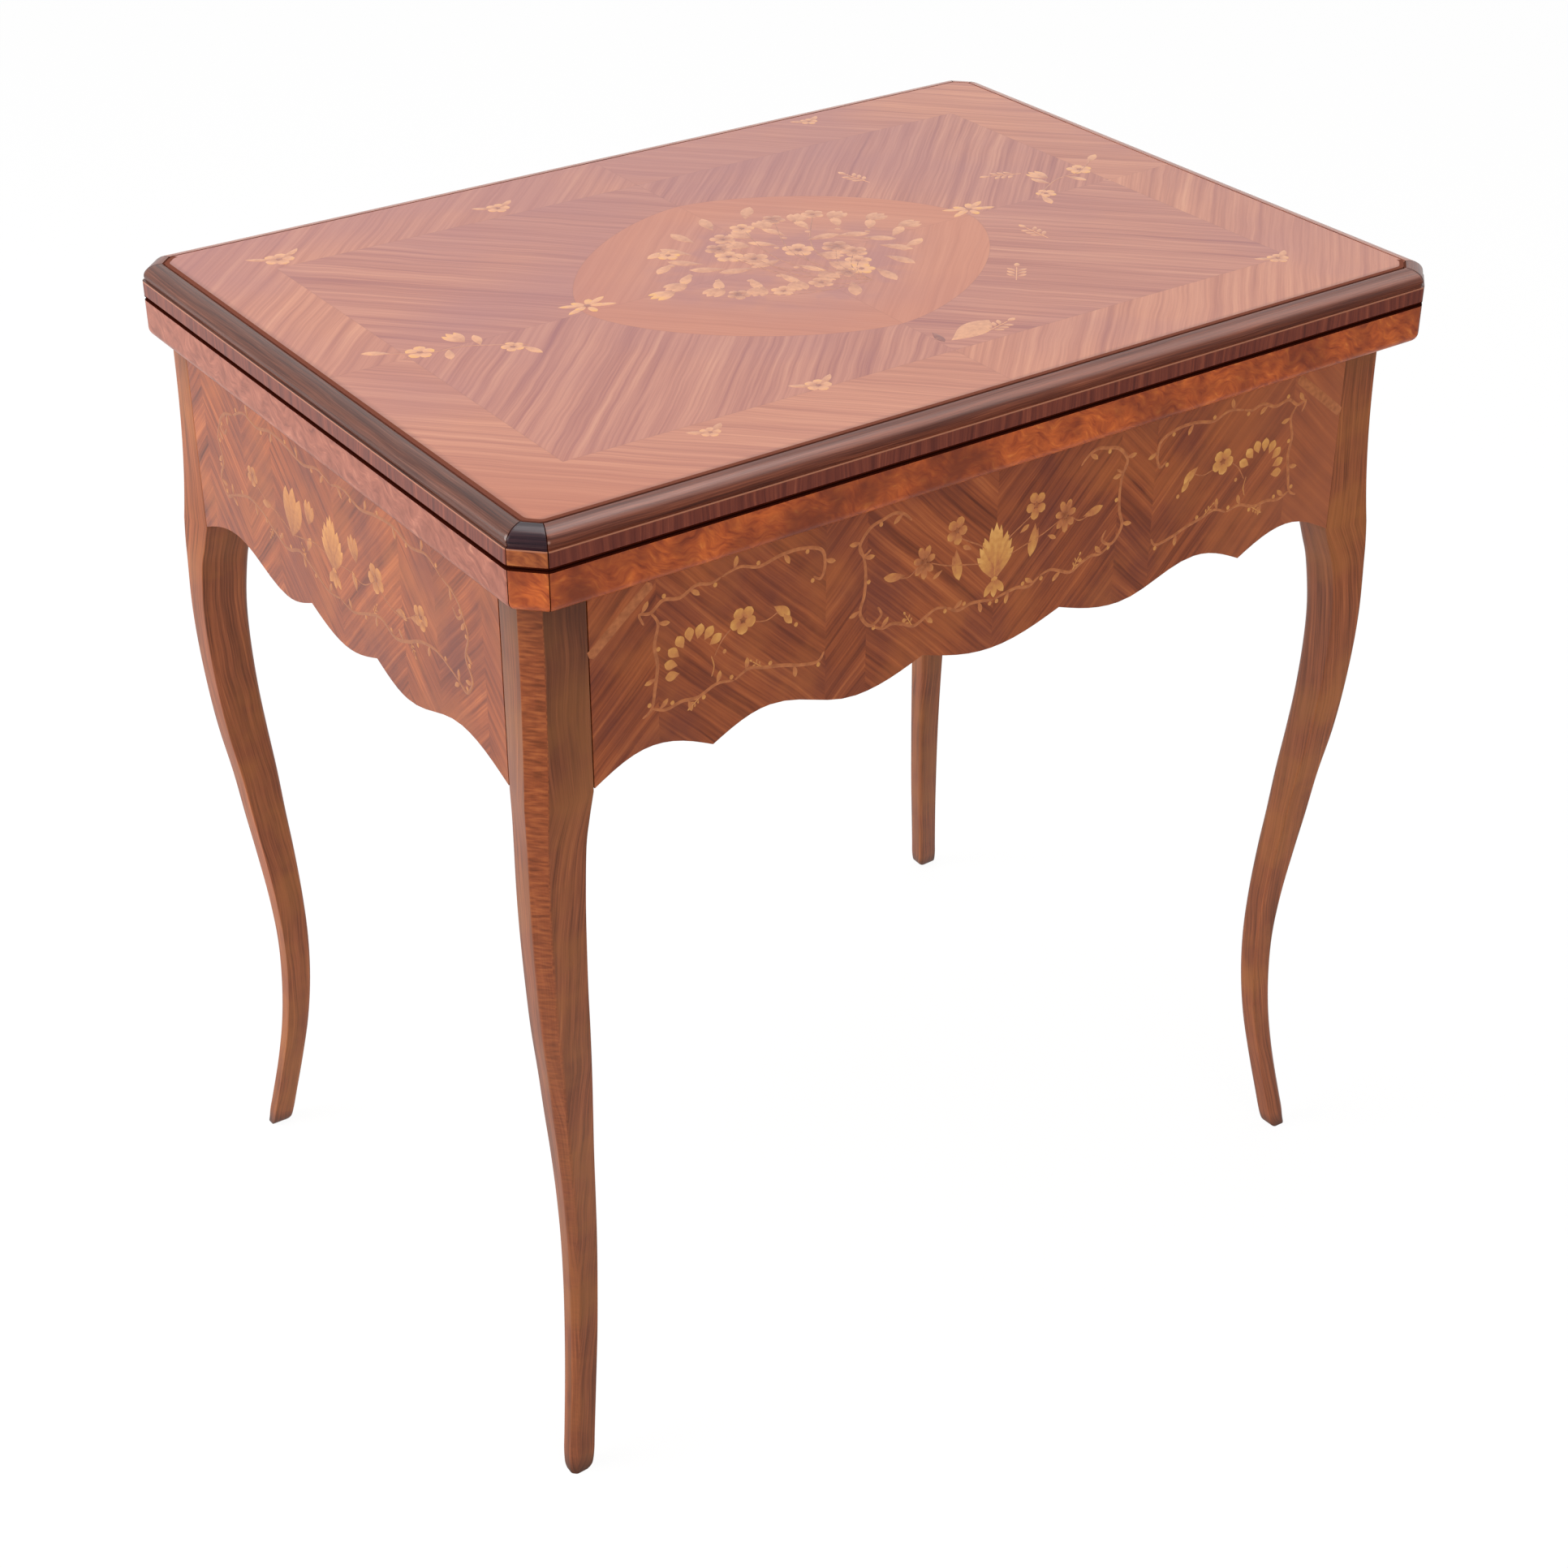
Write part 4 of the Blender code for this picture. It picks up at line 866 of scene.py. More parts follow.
    def lay_on(self, name, place, material, body, slot):
        """One closed mesh of all the pieces; place turns (right, down, out) into the table's X, Y, Z."""
        points, faces, tones = [], [], []
        start = 0
        for grid, tone in zip(self.grids, self.tones):
            index = start + np.arange(tone.size).reshape(tone.shape)
            after = np.roll(index, -1, axis=1)
            quads = np.stack([index[:-1], after[:-1], after[1:], index[1:]], axis=-1)
            faces.extend(quads.reshape(-1, 4).tolist())
            points.append(place(grid[:, :, 0], grid[:, :, 1], grid[:, :, 2]).reshape(-1, 3))
            tones.append(tone.ravel())
            start += tone.size
        mesh = bpy.data.meshes.new(name)
        mesh.from_pydata(np.concatenate(points), [], faces)
        layer = mesh.attributes.new("tone", "FLOAT", "POINT")
        layer.data.foreach_set("value", np.concatenate(tones).astype(np.float32))
        mesh.materials.append(material)
        weld(mesh, INLAY_WELD_DISTANCE)
        piece = in_scene(name, mesh)
        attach(piece, body)


CORNER_BAND_HALF_WIDTH = 3.4
CORNER_BAND_TONE = 0.27


def corner_band(work):
    """The slanting band let in across each upper corner of a long apron."""
    path = [(311, 54), (310, 53), (290, 36.5), (267, 18), (266, 17)]
    half_widths = [0, *[CORNER_BAND_HALF_WIDTH] * 3, 0]
    work.strip(path, half_widths, CORNER_BAND_TONE, CORNER_BAND_TONE)


def long_apron_design():
    """A vase between flowers in a scrolled cartouche, and a smaller cartouche on each side."""
    work = Marquetry()

    def centre():
        work.scroll([(70, 31), (76, 25), (84, 22), (93, 24), (103, 27), (111, 37), (108, 45), (102, 42)])
        work.scroll([(111, 37), (107, 50), (106, 62), (107, 74), (110, 86), (102, 97), (93, 92), (96, 85)])
        work.scroll([(102, 97), (92, 102), (84, 101), (75, 104), (66, 108), (56, 104), (48, 101), (39, 103)])
        work.scroll([(39, 103), (30, 108), (20, 106), (10, 107), (0, 109)], spacing=11.0)
        work.sprig(68, 107, -60, 10, 2)
        work.flower(59, 64, 9.0, 7, 90, 0.58, fat=0.9, long=1.4)
        work.flower(33, 49, 8.5, 5, 100, 0.72, long=1.25)
        work.leaf(33, 62, 92, 24, 8.0, 0.80, 0.3, curve=0.10)
        work.leaf(36, 66, 108, 15, 5.0, 0.62, 0.3, curve=-0.10)
        work.leaf(74, 69, -4, 18, 6.5, 0.62, 0.3, curve=-0.12)
        work.stem([(5, 74), (12, 66), (22, 60), (30, 55)], width=1.0)
        work.stem([(8, 80), (24, 76), (40, 72), (54, 66)], width=1.0)
        work.stem([(64, 66), (72, 71), (84, 68)], width=0.9)
        work.leaf(20, 66, -30, 9, 3.6, 0.6)
        work.leaf(44, 74, 30, 9, 3.2, 0.5)

    def side():
        work.scroll([(267, 37), (262, 46), (265, 60), (263, 74), (265, 88), (268, 103), (275, 108)])
        work.scroll([(272, 44), (275, 36), (267, 37), (258, 31), (246, 33), (234, 28), (224, 30), (216, 28)])
        work.scroll([
            (216, 28), (202, 25), (188, 29), (172, 26), (156, 26),
            (141, 31), (138, 42), (141, 51), (147, 48),
        ])
        work.scroll([(268, 103), (258, 107), (246, 105), (234, 106), (220, 101), (207, 103)], spacing=11.0)
        work.scroll([(207, 103), (196, 98), (184, 101), (170, 104), (157, 108), (143, 110), (138, 104)])
        work.sprig(232, 106, 35, 9, 2)
        work.sprig(186, 100, -40, 9, 2)
        work.flower(200, 62.5, 10.0, 5, 85, 0.85)
        for share in np.linspace(0, 1, 8):
            angle = math.radians(150 - 175 * share)
            x, y = 236 + 12.5 * math.cos(angle), 79 - 14 * math.sin(angle)
            work.leaf(x, y, -150 + 150 * share, 10.5, 7.0, 0.95 - 0.25 * share, 0.45)
        work.stem([(224, 80), (222, 88), (224, 95)], width=1.0, tone=0.5)
        work.leaf(177, 60, 145, 16, 7.0, 0.85, 0.4, curve=-0.06)
        work.leaf(170, 66, 118, 12, 5.0, 0.75, 0.4, curve=0.12)
        work.stem([(192, 66), (182, 68), (172, 64)], width=0.9)
        work.stem([(209, 66), (216, 72), (222, 82)], width=0.9)
        work.disc(160, 78, 1.6, 0.6)
        work.disc(214, 80, 1.5, 0.55)
        corner_band(work)

    work.mirrored(centre)
    work.acanthus(0, 95, 43, 27)
    work.mirrored(side)
    return work


def short_apron_design():
    """One wide cartouche: the vase, with a tulip and a bud on one side and a flower on the other."""
    work = Marquetry()

    def frame_scrolls():
        work.scroll([(0, 27), (18, 23), (40, 28), (62, 24), (86, 22), (108, 27), (128, 24), (146, 32)])
        work.scroll([(146, 32), (160, 36), (170, 46), (164, 52), (158, 46)])
        work.scroll([(170, 46), (176, 60), (171, 76), (178, 90), (170, 102), (160, 98)], spacing=11.0)
        work.scroll([
            (170, 102), (150, 94), (132, 89), (112, 92), (94, 100),
            (76, 105), (58, 99), (40, 104), (18, 112), (0, 110),
        ])
        work.sprig(98, 98, 60, 9, 2)
        work.sprig(48, 101, -60, 9, 2)

    work.mirrored(frame_scrolls)
    work.acanthus(-6, 93, 42, 30)
    work.tulip(-67, 92, -80, 40, 24, 0.85)
    work.leaf(-66, 74, -112, 14, 6.0, 0.7)
    work.tulip(-40, 72, -76, 20, 13, 0.8)
    work.leaf(-45, 94, -70, 14, 6.0, 0.75, curve=0.15)
    work.flower(-124, 69, 8.0, 5, 80, 0.75)
    work.leaf(-96, 80, 160, 15, 6.0, 0.62, curve=0.15)
    work.stem([(-14, 84), (-30, 82), (-48, 86), (-66, 90)], width=1.0)
    work.stem([(-66, 90), (-86, 84), (-104, 80), (-122, 72)], width=1.0)
    work.tulip(28, 72, -104, 20, 13, 0.8)
    work.leaf(26, 94, -100, 14, 6.0, 0.75, curve=-0.15)
    work.flower(55, 72, 11.0, 5, 95, 0.82)
    work.leaf(80, 84, -20, 13, 5.0, 0.65, curve=0.12)
    work.leaf(84, 80, 30, 12, 4.6, 0.6, curve=-0.12)
    work.flower(114, 74, 9.5, 5, 70, 0.78)
    work.leaf(100, 80, -10, 18, 7.0, 0.75, curve=-0.10)
    work.stem([(2, 84), (18, 82), (36, 84), (54, 74)], width=1.0)
    work.stem([(54, 74), (72, 84), (92, 84), (112, 72)], width=1.0)
    return work


def upright_face(origin, right, out):
    """Turns places on an apron's face (right, down, out) into X, Y, Z."""
    def place(u, v, lift):
        grid = np.asarray(origin) + u[:, :, None] * np.asarray(right) + lift[:, :, None] * np.asarray(out)
        grid[:, :, 2] -= v
        return grid

    return place


DESIGN_RISE = 0.1453  # from the aprons' lower edges to the line that the designs hang from
design_high = apron_low + DESIGN_RISE
APRON_FACES = {
    "front": (long_apron_design, (frame_middle[0], front_face, design_high), (1.0, 0, 0), (0, -1.0, 0)),
    "back": (long_apron_design, (frame_middle[0], back_face, design_high), (-1.0, 0, 0), (0, 1.0, 0)),
    "left": (short_apron_design, (left_face, frame_middle[1], design_high), (0, -1.0, 0), (-1.0, 0, 0)),
    "right": (short_apron_design, (right_face, frame_middle[1], design_high), (0, 1.0, 0), (1.0, 0, 0)),
}
for side, (design, origin, right, out) in APRON_FACES.items():
    face = upright_face(origin, right, out)
    wood_inlay = dull_inlay if side in ("left", "right") else bright_inlay
    design().lay_on(f"apron_marquetry_{side}", face, wood_inlay, "base", "rosewood")


# Inside of the frame
# Corner blocks, the pivot rail and the card well are plain sawn pine, left unpolished, and the
# well is lined with baize. They show from below and when the top is turned.

PINE_TONES = ((0.0, "#A87E4E"), (0.4, "#C49C68"), (0.7, "#D4B07C"), (1.0, "#E0C090"))


def along_axis(axis):
    """Straight grain along one axis of the table."""
    def lay(tree):
        place = add(tree, "SeparateXYZ", {0: add(tree, "TexCoord").outputs["Object"]}).outputs
        others = [name for name in "XYZ" if name != axis]
        across = add(tree, "Math", {0: place[others[0]], 1: place[others[1]]}, operation="ADD").outputs[0]
        return add(tree, "CombineXYZ", {"X": place[axis], "Y": across, "Z": place[others[1]]}).outputs[0]

    return lay


pine = {
    axis: wood(
        f"sawn_pine_along_{axis}", along_axis(axis), PINE_TONES,
        stripe=0.009, streak=0.0016, figure=0.7, polish=0.62,
    )
    for axis in "XYZ"
}
dress(pine["X"], "well_cleat_front", "well_cleat_back", "well_bottom")
dress(pine["Y"], "pivot_rail", "well_divider", "well_cleat_left", "well_cleat_divider")
for corner in ("front_left", "front_right", "back_right", "back_left"):
    dress(pine["Z"], f"corner_block_{corner}")

# Fulled wool with a short nap: no weave shows, only matted fibres a few tenths of a millimetre wide.
BAIZE_TONES = ((0.0, "#17402A"), (0.5, "#245A3A"), (1.0, "#34704B"))
BAIZE_CLOUD_SHARE = 0.35  # of slow changes in the tone, the rest being fibres
baize_cloth, tree = new_material("green_wool_baize")
spot = add(tree, "TexCoord").outputs["Object"]
fibre = add(tree, "TexNoise", {
    "Vector": spot, "Scale": 1400.0, "Detail": 4.0, "Roughness": 0.7,
}).outputs["Fac"]
cloud = add(tree, "TexNoise", {"Vector": spot, "Scale": 9.0, "Detail": 3.0}).outputs["Fac"]
tone = add(tree, "Mix", {0: BAIZE_CLOUD_SHARE, 2: fibre, 3: cloud}, data_type="FLOAT").outputs[0]
tone = add(tree, "MapRange", {
    "Value": tone, "From Min": NOISE_RUN[0], "From Max": NOISE_RUN[1],
}).outputs[0]
colour = add(tree, "ValToRGB", {"Fac": tone}, stops=BAIZE_TONES).outputs["Color"]
nap = add(tree, "Bump", {"Height": fibre, "Strength": 0.6, "Distance": 0.0003}).outputs[0]
end_with(tree, add(tree, "BsdfPrincipled", {
    "Base Color": colour, "Roughness": 0.95, "Normal": nap, "Sheen Weight": 0.5, "Sheen Roughness": 0.5,
}).outputs[0])


QUARTER_STEPS = 8  # points round a quarter turn of the baize's corners and the lips' lower edge


def rounded_rectangle(low, high, radius):
    """Outline of a rectangle in plan with quarter-round corners, as points in order."""
    turn = np.linspace(0, np.pi / 2, QUARTER_STEPS)
    points = []
    for quarter, (side_x, side_y) in enumerate(((1, 1), (-1, 1), (-1, -1), (1, -1))):
        x = high[0] if side_x > 0 else low[0]
        y = high[1] if side_y > 0 else low[1]
        angle = turn + quarter * np.pi / 2
        centre = np.array([x - radius * side_x, y - radius * side_y])
        points.append(centre + radius * np.column_stack([np.cos(angle), np.sin(angle)]))
    return np.concatenate(points)


def make_baize(name, node, body, outline, face_up):
    """A flat sheet glued down, with its cut edge eased, in the space of its CAD node."""
    low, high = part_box(node)
    ease = (high.z - low.z) / 3
    centre = outline.mean(0)
    insets = (0.0, 0.0, ease) if face_up else (ease, 0.0, 0.0)
    heights = (low.z, high.z - ease, high.z) if face_up else (low.z, low.z + ease, high.z)
    rings = []
    for inset, height in zip(insets, heights):
        shrunk = centre + (outline - centre) * (1 - inset / np.abs(outline - centre).max(0))
        rings.append(np.column_stack([shrunk, np.full(len(shrunk), height)]))
    cloth = skin(name, np.array(rings), [baize_cloth])
    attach(cloth, body)
    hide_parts(node)


LINING_CLEARANCE = 0.0011  # round the stiles of the legs
lining_low, lining_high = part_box("well_lining")
stile_x = left_face + LEG_FRONT_WIDTH + LINING_CLEARANCE
stile_front = front_face + LEG_SIDE_WIDTH + LINING_CLEARANCE
stile_back = back_face - LEG_SIDE_WIDTH - LINING_CLEARANCE
lining_plan = np.array([
    (lining_high.x, lining_high.y), (stile_x, lining_high.y),
    (stile_x, stile_back), (lining_low.x, stile_back),
    (lining_low.x, stile_front), (stile_x, stile_front),
    (stile_x, lining_low.y), (lining_high.x, lining_low.y),
])
make_baize("card_well_baize", "well_lining", "base", lining_plan, True)


# Lower leaf
# A veneered board that turns on the frame. Its edge is lipped in eight pieces of orange burr, a
# separate one round each cut corner, and its playing face has baize inside a veneered margin.

LEAF_CANT = 0.018
LEAF_ARRIS_RADIUS = 0.006
LIPPING_WIDTH = 0.015
LIPPING_ROUND = 0.007
LIPPING_EASE = 0.0008
RIM_GAP_SHADE = 0.0032  # how far in from the edge the painted shade of the parting line reaches
JOINT_GAP = 0.0003
EDGE_SEED = 0.9  # metres from one edge piece's place in the grain to the next
EDGE_CRISP_ANGLE = 28.0  # degrees: the profiles' own angles are flatter than the legs'
ARRIS_STEPS = 10
CANT_ANGLE = math.pi / 4
EDGE_NAMES = (
    "front", "cant_front_right", "right", "cant_back_right",
    "back", "cant_back_left", "left", "cant_front_left",
)
lip_low, lip_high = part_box("lower_lip_front")[0].z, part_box("lower_lip_front")[1].z
half_top = (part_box("lower_lip_right")[1].x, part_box("lower_lip_back")[1].y)
lower_thickness = lip_high - lip_low


def canted_corners(inset):
    """The eight corners of the leaf's outline drawn in by each inset: (insets, 8, 2), anticlockwise."""
    inset = np.asarray(inset, float)[..., None]
    x = half_top[0] - inset
    y = half_top[1] - inset
    cut = LEAF_CANT - inset * (2 - math.sqrt(2))
    places = [
        (-x + cut, -y), (x - cut, -y), (x, -y + cut), (x, y - cut),
        (x - cut, y), (-x + cut, y), (-x, y - cut), (-x, -y + cut),
    ]
    return np.stack([np.concatenate([a + 0 * x, b + 0 * y], axis=-1) for a, b in places], axis=-2)


def arris(corner, share):
    """Points of the arc that rounds a corner, measured from that corner; share 0 to 1 runs along it."""
    heading = (corner - 1) * CANT_ANGLE
    tangent = LEAF_ARRIS_RADIUS * math.tan(CANT_ANGLE / 2)
    turn = heading + np.asarray(share, float) * CANT_ANGLE
    x = LEAF_ARRIS_RADIUS * (np.sin(turn) - math.sin(heading)) - tangent * math.cos(heading)
    y = LEAF_ARRIS_RADIUS * (math.cos(heading) - np.cos(turn)) - tangent * math.sin(heading)
    return np.stack([x, y], axis=-1)


def edge_piece(name, edge, profile, base_height, materials, face_slots, end_slot, body, node):
    """One of the eight edge pieces: a profile carried from the middle of one corner to the next.

    Every point of the profile follows the leaf's outline drawn in by its own inset. U is the
    distance along the edge from its middle, and V the distance round the profile. On a corner
    piece the first and last faces, half a millimetre wide, show the glue of the joint.
    """
    profile = np.asarray(profile, float)
    outline = canted_corners(profile[:, 0])
    half = np.linspace(0.5, 1, ARRIS_STEPS // 2 + 1)
    after = (edge + 1) % len(EDGE_NAMES)
    rows = []
    for corner, shares, joint, way in ((edge, half, 0, 1), (after, 1 - half[::-1], -1, -1)):
        bend = arris(corner, shares)
        middle = (corner - 0.5) * CANT_ANGLE
        bend[joint] += way * JOINT_GAP / 2 * np.array([math.cos(middle), math.sin(middle)])
        rows.append(outline[None, :, corner] + bend[:, None])
    plan = np.concatenate(rows)
    height = np.broadcast_to(base_height + profile[:, 1], plan.shape[:2])
    grid = np.concatenate([plan, height[:, :, None]], axis=2)
    outer = grid[:, int(np.argmin(profile[:, 0]))]
    along = np.concatenate([[0], np.cumsum(np.linalg.norm(np.diff(outer, axis=0), axis=1))])
    along -= along[-1] / 2
    ring = np.vstack([profile, profile[:1]])
    around = np.concatenate([[0], np.cumsum(np.linalg.norm(np.diff(ring, axis=0), axis=1))])
    uv = np.stack(np.broadcast_arrays(along[:, None] + EDGE_SEED * edge, around[None]), axis=2)
    slots = np.tile(face_slots, (len(grid) - 1, 1))
    if edge % 2:
        slots[[0, -1]] = end_slot
    piece = skin(name, grid, materials, uv, slots, cap_slot=end_slot, sharp=EDGE_CRISP_ANGLE)
    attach(piece, body)
    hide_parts(node)


def lipping_profile():
    """Section of the lower lips, as insets and heights: a rounded lower edge and an eased upper one."""
    turn = np.linspace(0, np.pi / 2, QUARTER_STEPS)
    rounded = np.column_stack([LIPPING_ROUND * (1 - np.sin(turn)), LIPPING_ROUND * (1 - np.cos(turn))])
    return np.vstack([
        [(LIPPING_WIDTH, 0)], rounded,
        [(0, lower_thickness - LIPPING_EASE), (LIPPING_EASE, lower_thickness)],
        [(RIM_GAP_SHADE, lower_thickness), (LIPPING_WIDTH, lower_thickness)],
    ])


BURR_SLANT = 0.45  # of the figure, as a rise for each length along the edge
BURR_SHARES = (2.6, 5.0, 4.0)
BURR_DARK = {
    "code": "#6E2E18", "scale": 14.0, "detail": 4.0, "run": (0.42, 0.62), "most": 0.85, "roughness": 0.65,
}


def slanting_uv(tree):
    """Figure that runs at a slant to the edge, as on a sheet cut from a burr."""
    flat = add(tree, "SeparateXYZ", {0: add(tree, "UVMap", uv_map="grain").outputs[0]}).outputs
    along = add(tree, "Math", {
        0: flat["X"], 1: BURR_SLANT, 2: flat["Y"],
    }, operation="MULTIPLY_ADD").outputs[0]
    fall = add(tree, "Math", {
        0: flat["Y"], 1: -BURR_SLANT, 2: flat["X"],
    }, operation="MULTIPLY_ADD").outputs[0]
    return add(tree, "CombineXYZ", {"X": fall, "Y": along}).outputs[0]


def burr_tint(tree, colour):
    """Darker, browner stretches some centimetres long, as the burr's figure comes and goes."""
    return patches(tree, colour, add(tree, "UVMap", uv_map="grain").outputs[0], **BURR_DARK)


LIP_TONES = ((0.0, "#782D0E"), (0.35, "#A64A1C"), (0.7, "#C26024"), (1.0, "#D88236"))
# A pinker copy of the burr's tones for the left edge only: painted sheen.
SHEEN_PINK_LIP_TONES = ((0.0, "#70382A"), (0.35, "#8A4D3B"), (0.7, "#A05F4B"), (1.0, "#B87A62"))
BURR_FIGURE = {"stripe": 0.0060, "streak": 0.0020, "figure": 0.7, "sway": 1.6, "wave": 0.03}
lip_burr = wood(
    "orange_burr_lipping", slanting_uv, LIP_TONES, drawn=BURR_SHARES, tint=burr_tint, **BURR_FIGURE,
)
sheen_pink_burr = wood("rosy_burr_lipping_painted_sheen", slanting_uv, SHEEN_PINK_LIP_TONES, drawn=BURR_SHARES, **BURR_FIGURE)
LIP_BURR_SLOT, LIP_JOINT_AND_GAP_SHADE_SLOT = range(2)
profile = lipping_profile()
slots = np.full(len(profile), LIP_BURR_SLOT, np.int32)
slots[-4:-2] = LIP_JOINT_AND_GAP_SHADE_SLOT  # painted shade of the parting gap on the eased edge and just inside it
for edge, label in enumerate(EDGE_NAMES):
    # The left edge takes the pinker burr: painted sheen.
    burr = sheen_pink_burr if label == "left" else lip_burr
    edge_piece(
        f"burr_lip_{label}", edge, profile, lip_low, [burr, dark_joint_and_gap_shade], slots, LIP_JOINT_AND_GAP_SHADE_SLOT,
        "lower_leaf", f"lower_lip_{label}",
    )


TURNED_SHEET = 4.0  # the number of the sheets along the short sides


def mitred_margin(tree):
    """Grain across each margin of a playing face, meeting in mitres at the corners."""
    place = add(tree, "SeparateXYZ", {0: add(tree, "TexCoord").outputs["Object"]}).outputs
    past = []
    for axis, half in zip("XY", half_top):
        far = add(tree, "Math", {0: place[axis]}, operation="ABSOLUTE").outputs[0]
        past.append(add(tree, "Math", {0: far, 1: half}, operation="SUBTRACT").outputs[0])
    side = add(tree, "Math", {0: past[0], 1: past[1]}, operation="GREATER_THAN").outputs[0]
    crossed = add(tree, "CombineXYZ", {"X": place["X"], "Y": place["Y"]}).outputs[0]
    turned = add(tree, "CombineXYZ", {"X": place["Y"], "Y": place["X"], "Z": TURNED_SHEET}).outputs[0]
    return add(tree, "Mix", {0: side, 4: turned, 5: crossed}, data_type="VECTOR").outputs[1]


MARGIN_TONES = ((0.0, "#57281A"), (0.35, "#7C3D26"), (0.65, "#9A5634"), (1.0, "#B47448"))
BAIZE_CORNER_RADIUS = 0.020
margin_veneer = wood(
    "cross_banded_margin", mitred_margin, MARGIN_TONES, stripe=0.0055, streak=0.0016, figure=0.55,
)
dress(margin_veneer, "lower_core", "upper_core")

for node, body, face_up, carrier in (
    ("lower_baize", "lower_leaf", True, "lower_core"), ("upper_baize", "upper_leaf", False, "upper_core"),
):
    low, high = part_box(node)
    outline = rounded_rectangle(low, high, BAIZE_CORNER_RADIUS)
    make_baize(f"playing_{node}", node, body, outline, face_up)


# Upper leaf
# The leaf that folds over. A dark moulded frame in eight pieces holds the veneered field: a red
# band with a pale string line let in, a fillet, a rolled moulding and a quirk at the field.

BAND_HEIGHT = 0.0120
STRING_WIDTH = 0.0010
EDGE_GAP_SHADE = 0.0015  # how far up the band the painted shade of the parting line reaches
FILLET_INSET = 0.0016
FILLET_SLOPE = 0.0005
ROLL_LOW = 0.0147
ROLL_INSET = 0.0010
QUIRK_WIDTH = 0.0014
QUIRK_DEPTH = 0.0011
ROLL_STEPS = 18
upper_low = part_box("moulding_front")[0].z
upper_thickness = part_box("top_field")[1].z - upper_low


def moulding_profile():
    """Section of the upper edge pieces as insets and heights; the roll is a quarter of an ellipse."""
    roll_end = LIPPING_WIDTH - QUIRK_WIDTH
    roll_high = upper_thickness - JOINT_GAP
    turn = np.linspace(0, np.pi / 2, ROLL_STEPS)
    roll = np.column_stack([
        roll_end - (roll_end - ROLL_INSET) * np.cos(turn), ROLL_LOW + (roll_high - ROLL_LOW) * np.sin(turn),
    ])
    return np.vstack([
        [(LIPPING_WIDTH, 0), (RIM_GAP_SHADE, 0), (LIPPING_EASE, 0), (0, LIPPING_EASE), (0, EDGE_GAP_SHADE)],
        [(0, BAND_HEIGHT - STRING_WIDTH), (0, BAND_HEIGHT)],
        [(FILLET_INSET, BAND_HEIGHT + FILLET_SLOPE), (FILLET_INSET, ROLL_LOW)],
        roll,
        [(roll_end, upper_thickness - QUIRK_DEPTH), (LIPPING_WIDTH, upper_thickness - QUIRK_DEPTH)],
    ])


def along_edge(tree):
    """Grain along U, the length of an edge piece, with V round its section."""
    return add(tree, "UVMap", uv_map="grain").outputs[0]


MOULDING_TONES = ((0.0, "#3C1A12"), (0.4, "#5F2F20"), (0.7, "#783F2B"), (1.0, "#96553C"))
# The same wood for the left edge, made darker: painted shade.
LEFT_SHADE_TONES = ((0.0, "#321A14"), (0.4, "#502D23"), (0.7, "#673E30"), (1.0, "#835445"))
# Near black, bluish tones for the roll of the near corner only: a painted dark reflection.
NEAR_CORNER_REFLECTION_TONES = ((0.0, "#180D14"), (0.4, "#2C1A22"), (0.7, "#3E262B"), (1.0, "#573A38"))
# Light, pinkish tones for the top of the roll on the far edges: painted sheen.
FAR_SHEEN_TONES = ((0.0, "#7E4A42"), (0.4, "#A06858"), (0.7, "#B67D6A"), (1.0, "#CA947C"))
EDGE_BAND_TONES = ((0.0, "#451A14"), (0.4, "#642B1F"), (0.7, "#7A3A28"), (1.0, "#935038"))
CORNER_BAND_TONES = ((0.0, "#5A2813"), (0.4, "#87431F"), (0.7, "#A1582A"), (1.0, "#BC7438"))
MOULDING_FIGURE = {"stripe": 0.0042, "streak": 0.0010, "figure": 0.5, "sway": 0.3, "polish": 0.24}
moulding_wood, left_shaded_wood, near_corner_reflection_wood, far_sheen_wood = (
    wood(name, along_edge, tones, **MOULDING_FIGURE) for name, tones in (
        ("dark_rosewood_moulding", MOULDING_TONES), ("rosewood_moulding_painted_shade_left", LEFT_SHADE_TONES),
        ("moulding_corner_painted_dark_reflection", NEAR_CORNER_REFLECTION_TONES), ("rosewood_arris_painted_sheen", FAR_SHEEN_TONES),
    )
)
edge_band = wood(
    "red_brown_edge_band", along_uv, EDGE_BAND_TONES, stripe=0.0060, streak=0.0014, figure=0.6, sway=0.8,
)
corner_band_wood = wood(
    "mottled_corner_band", slanting_uv, CORNER_BAND_TONES, stripe=0.0050, streak=0.0016, figure=0.7,
    drawn=BURR_SHARES, sway=1.4, wave=0.03,
)
string_line, tree = new_material("pale_string_line")
# Boxwood string, under a millimetre wide, gone orange under the polish and worn dull.
end_with(tree, add(tree, "BsdfPrincipled", {"Base Color": linear("#A56A4E"), "Roughness": 0.35}).outputs[0])

old_wax, tree = new_material("old_wax_in_the_quirk")
# Years of wax and dust, brushed into the groove: brown and quite matt.
end_with(tree, add(tree, "BsdfDiffuse", {"Color": linear("#7C4A3C"), "Roughness": 0.4}).outputs[0])

# Slots of a moulding's materials, in the order in which it is given them.
ROLL_SLOT, BAND_SLOT, STRING_SLOT, JOINT_AND_GAP_SHADE_SLOT, WAX_SLOT, FAR_SHEEN_SLOT = range(6)
FAR_EDGES = ("right", "cant_back_right", "back")  # lighter and pinker on top, quirk included: painted sheen
FAR_SHEEN_STEPS = 8  # of the roll, down from the quirk
profile = moulding_profile()
# One slot for each side of the section, from the inner end of its underside round to the quirk.
slots = np.full(len(profile), ROLL_SLOT, np.int32)
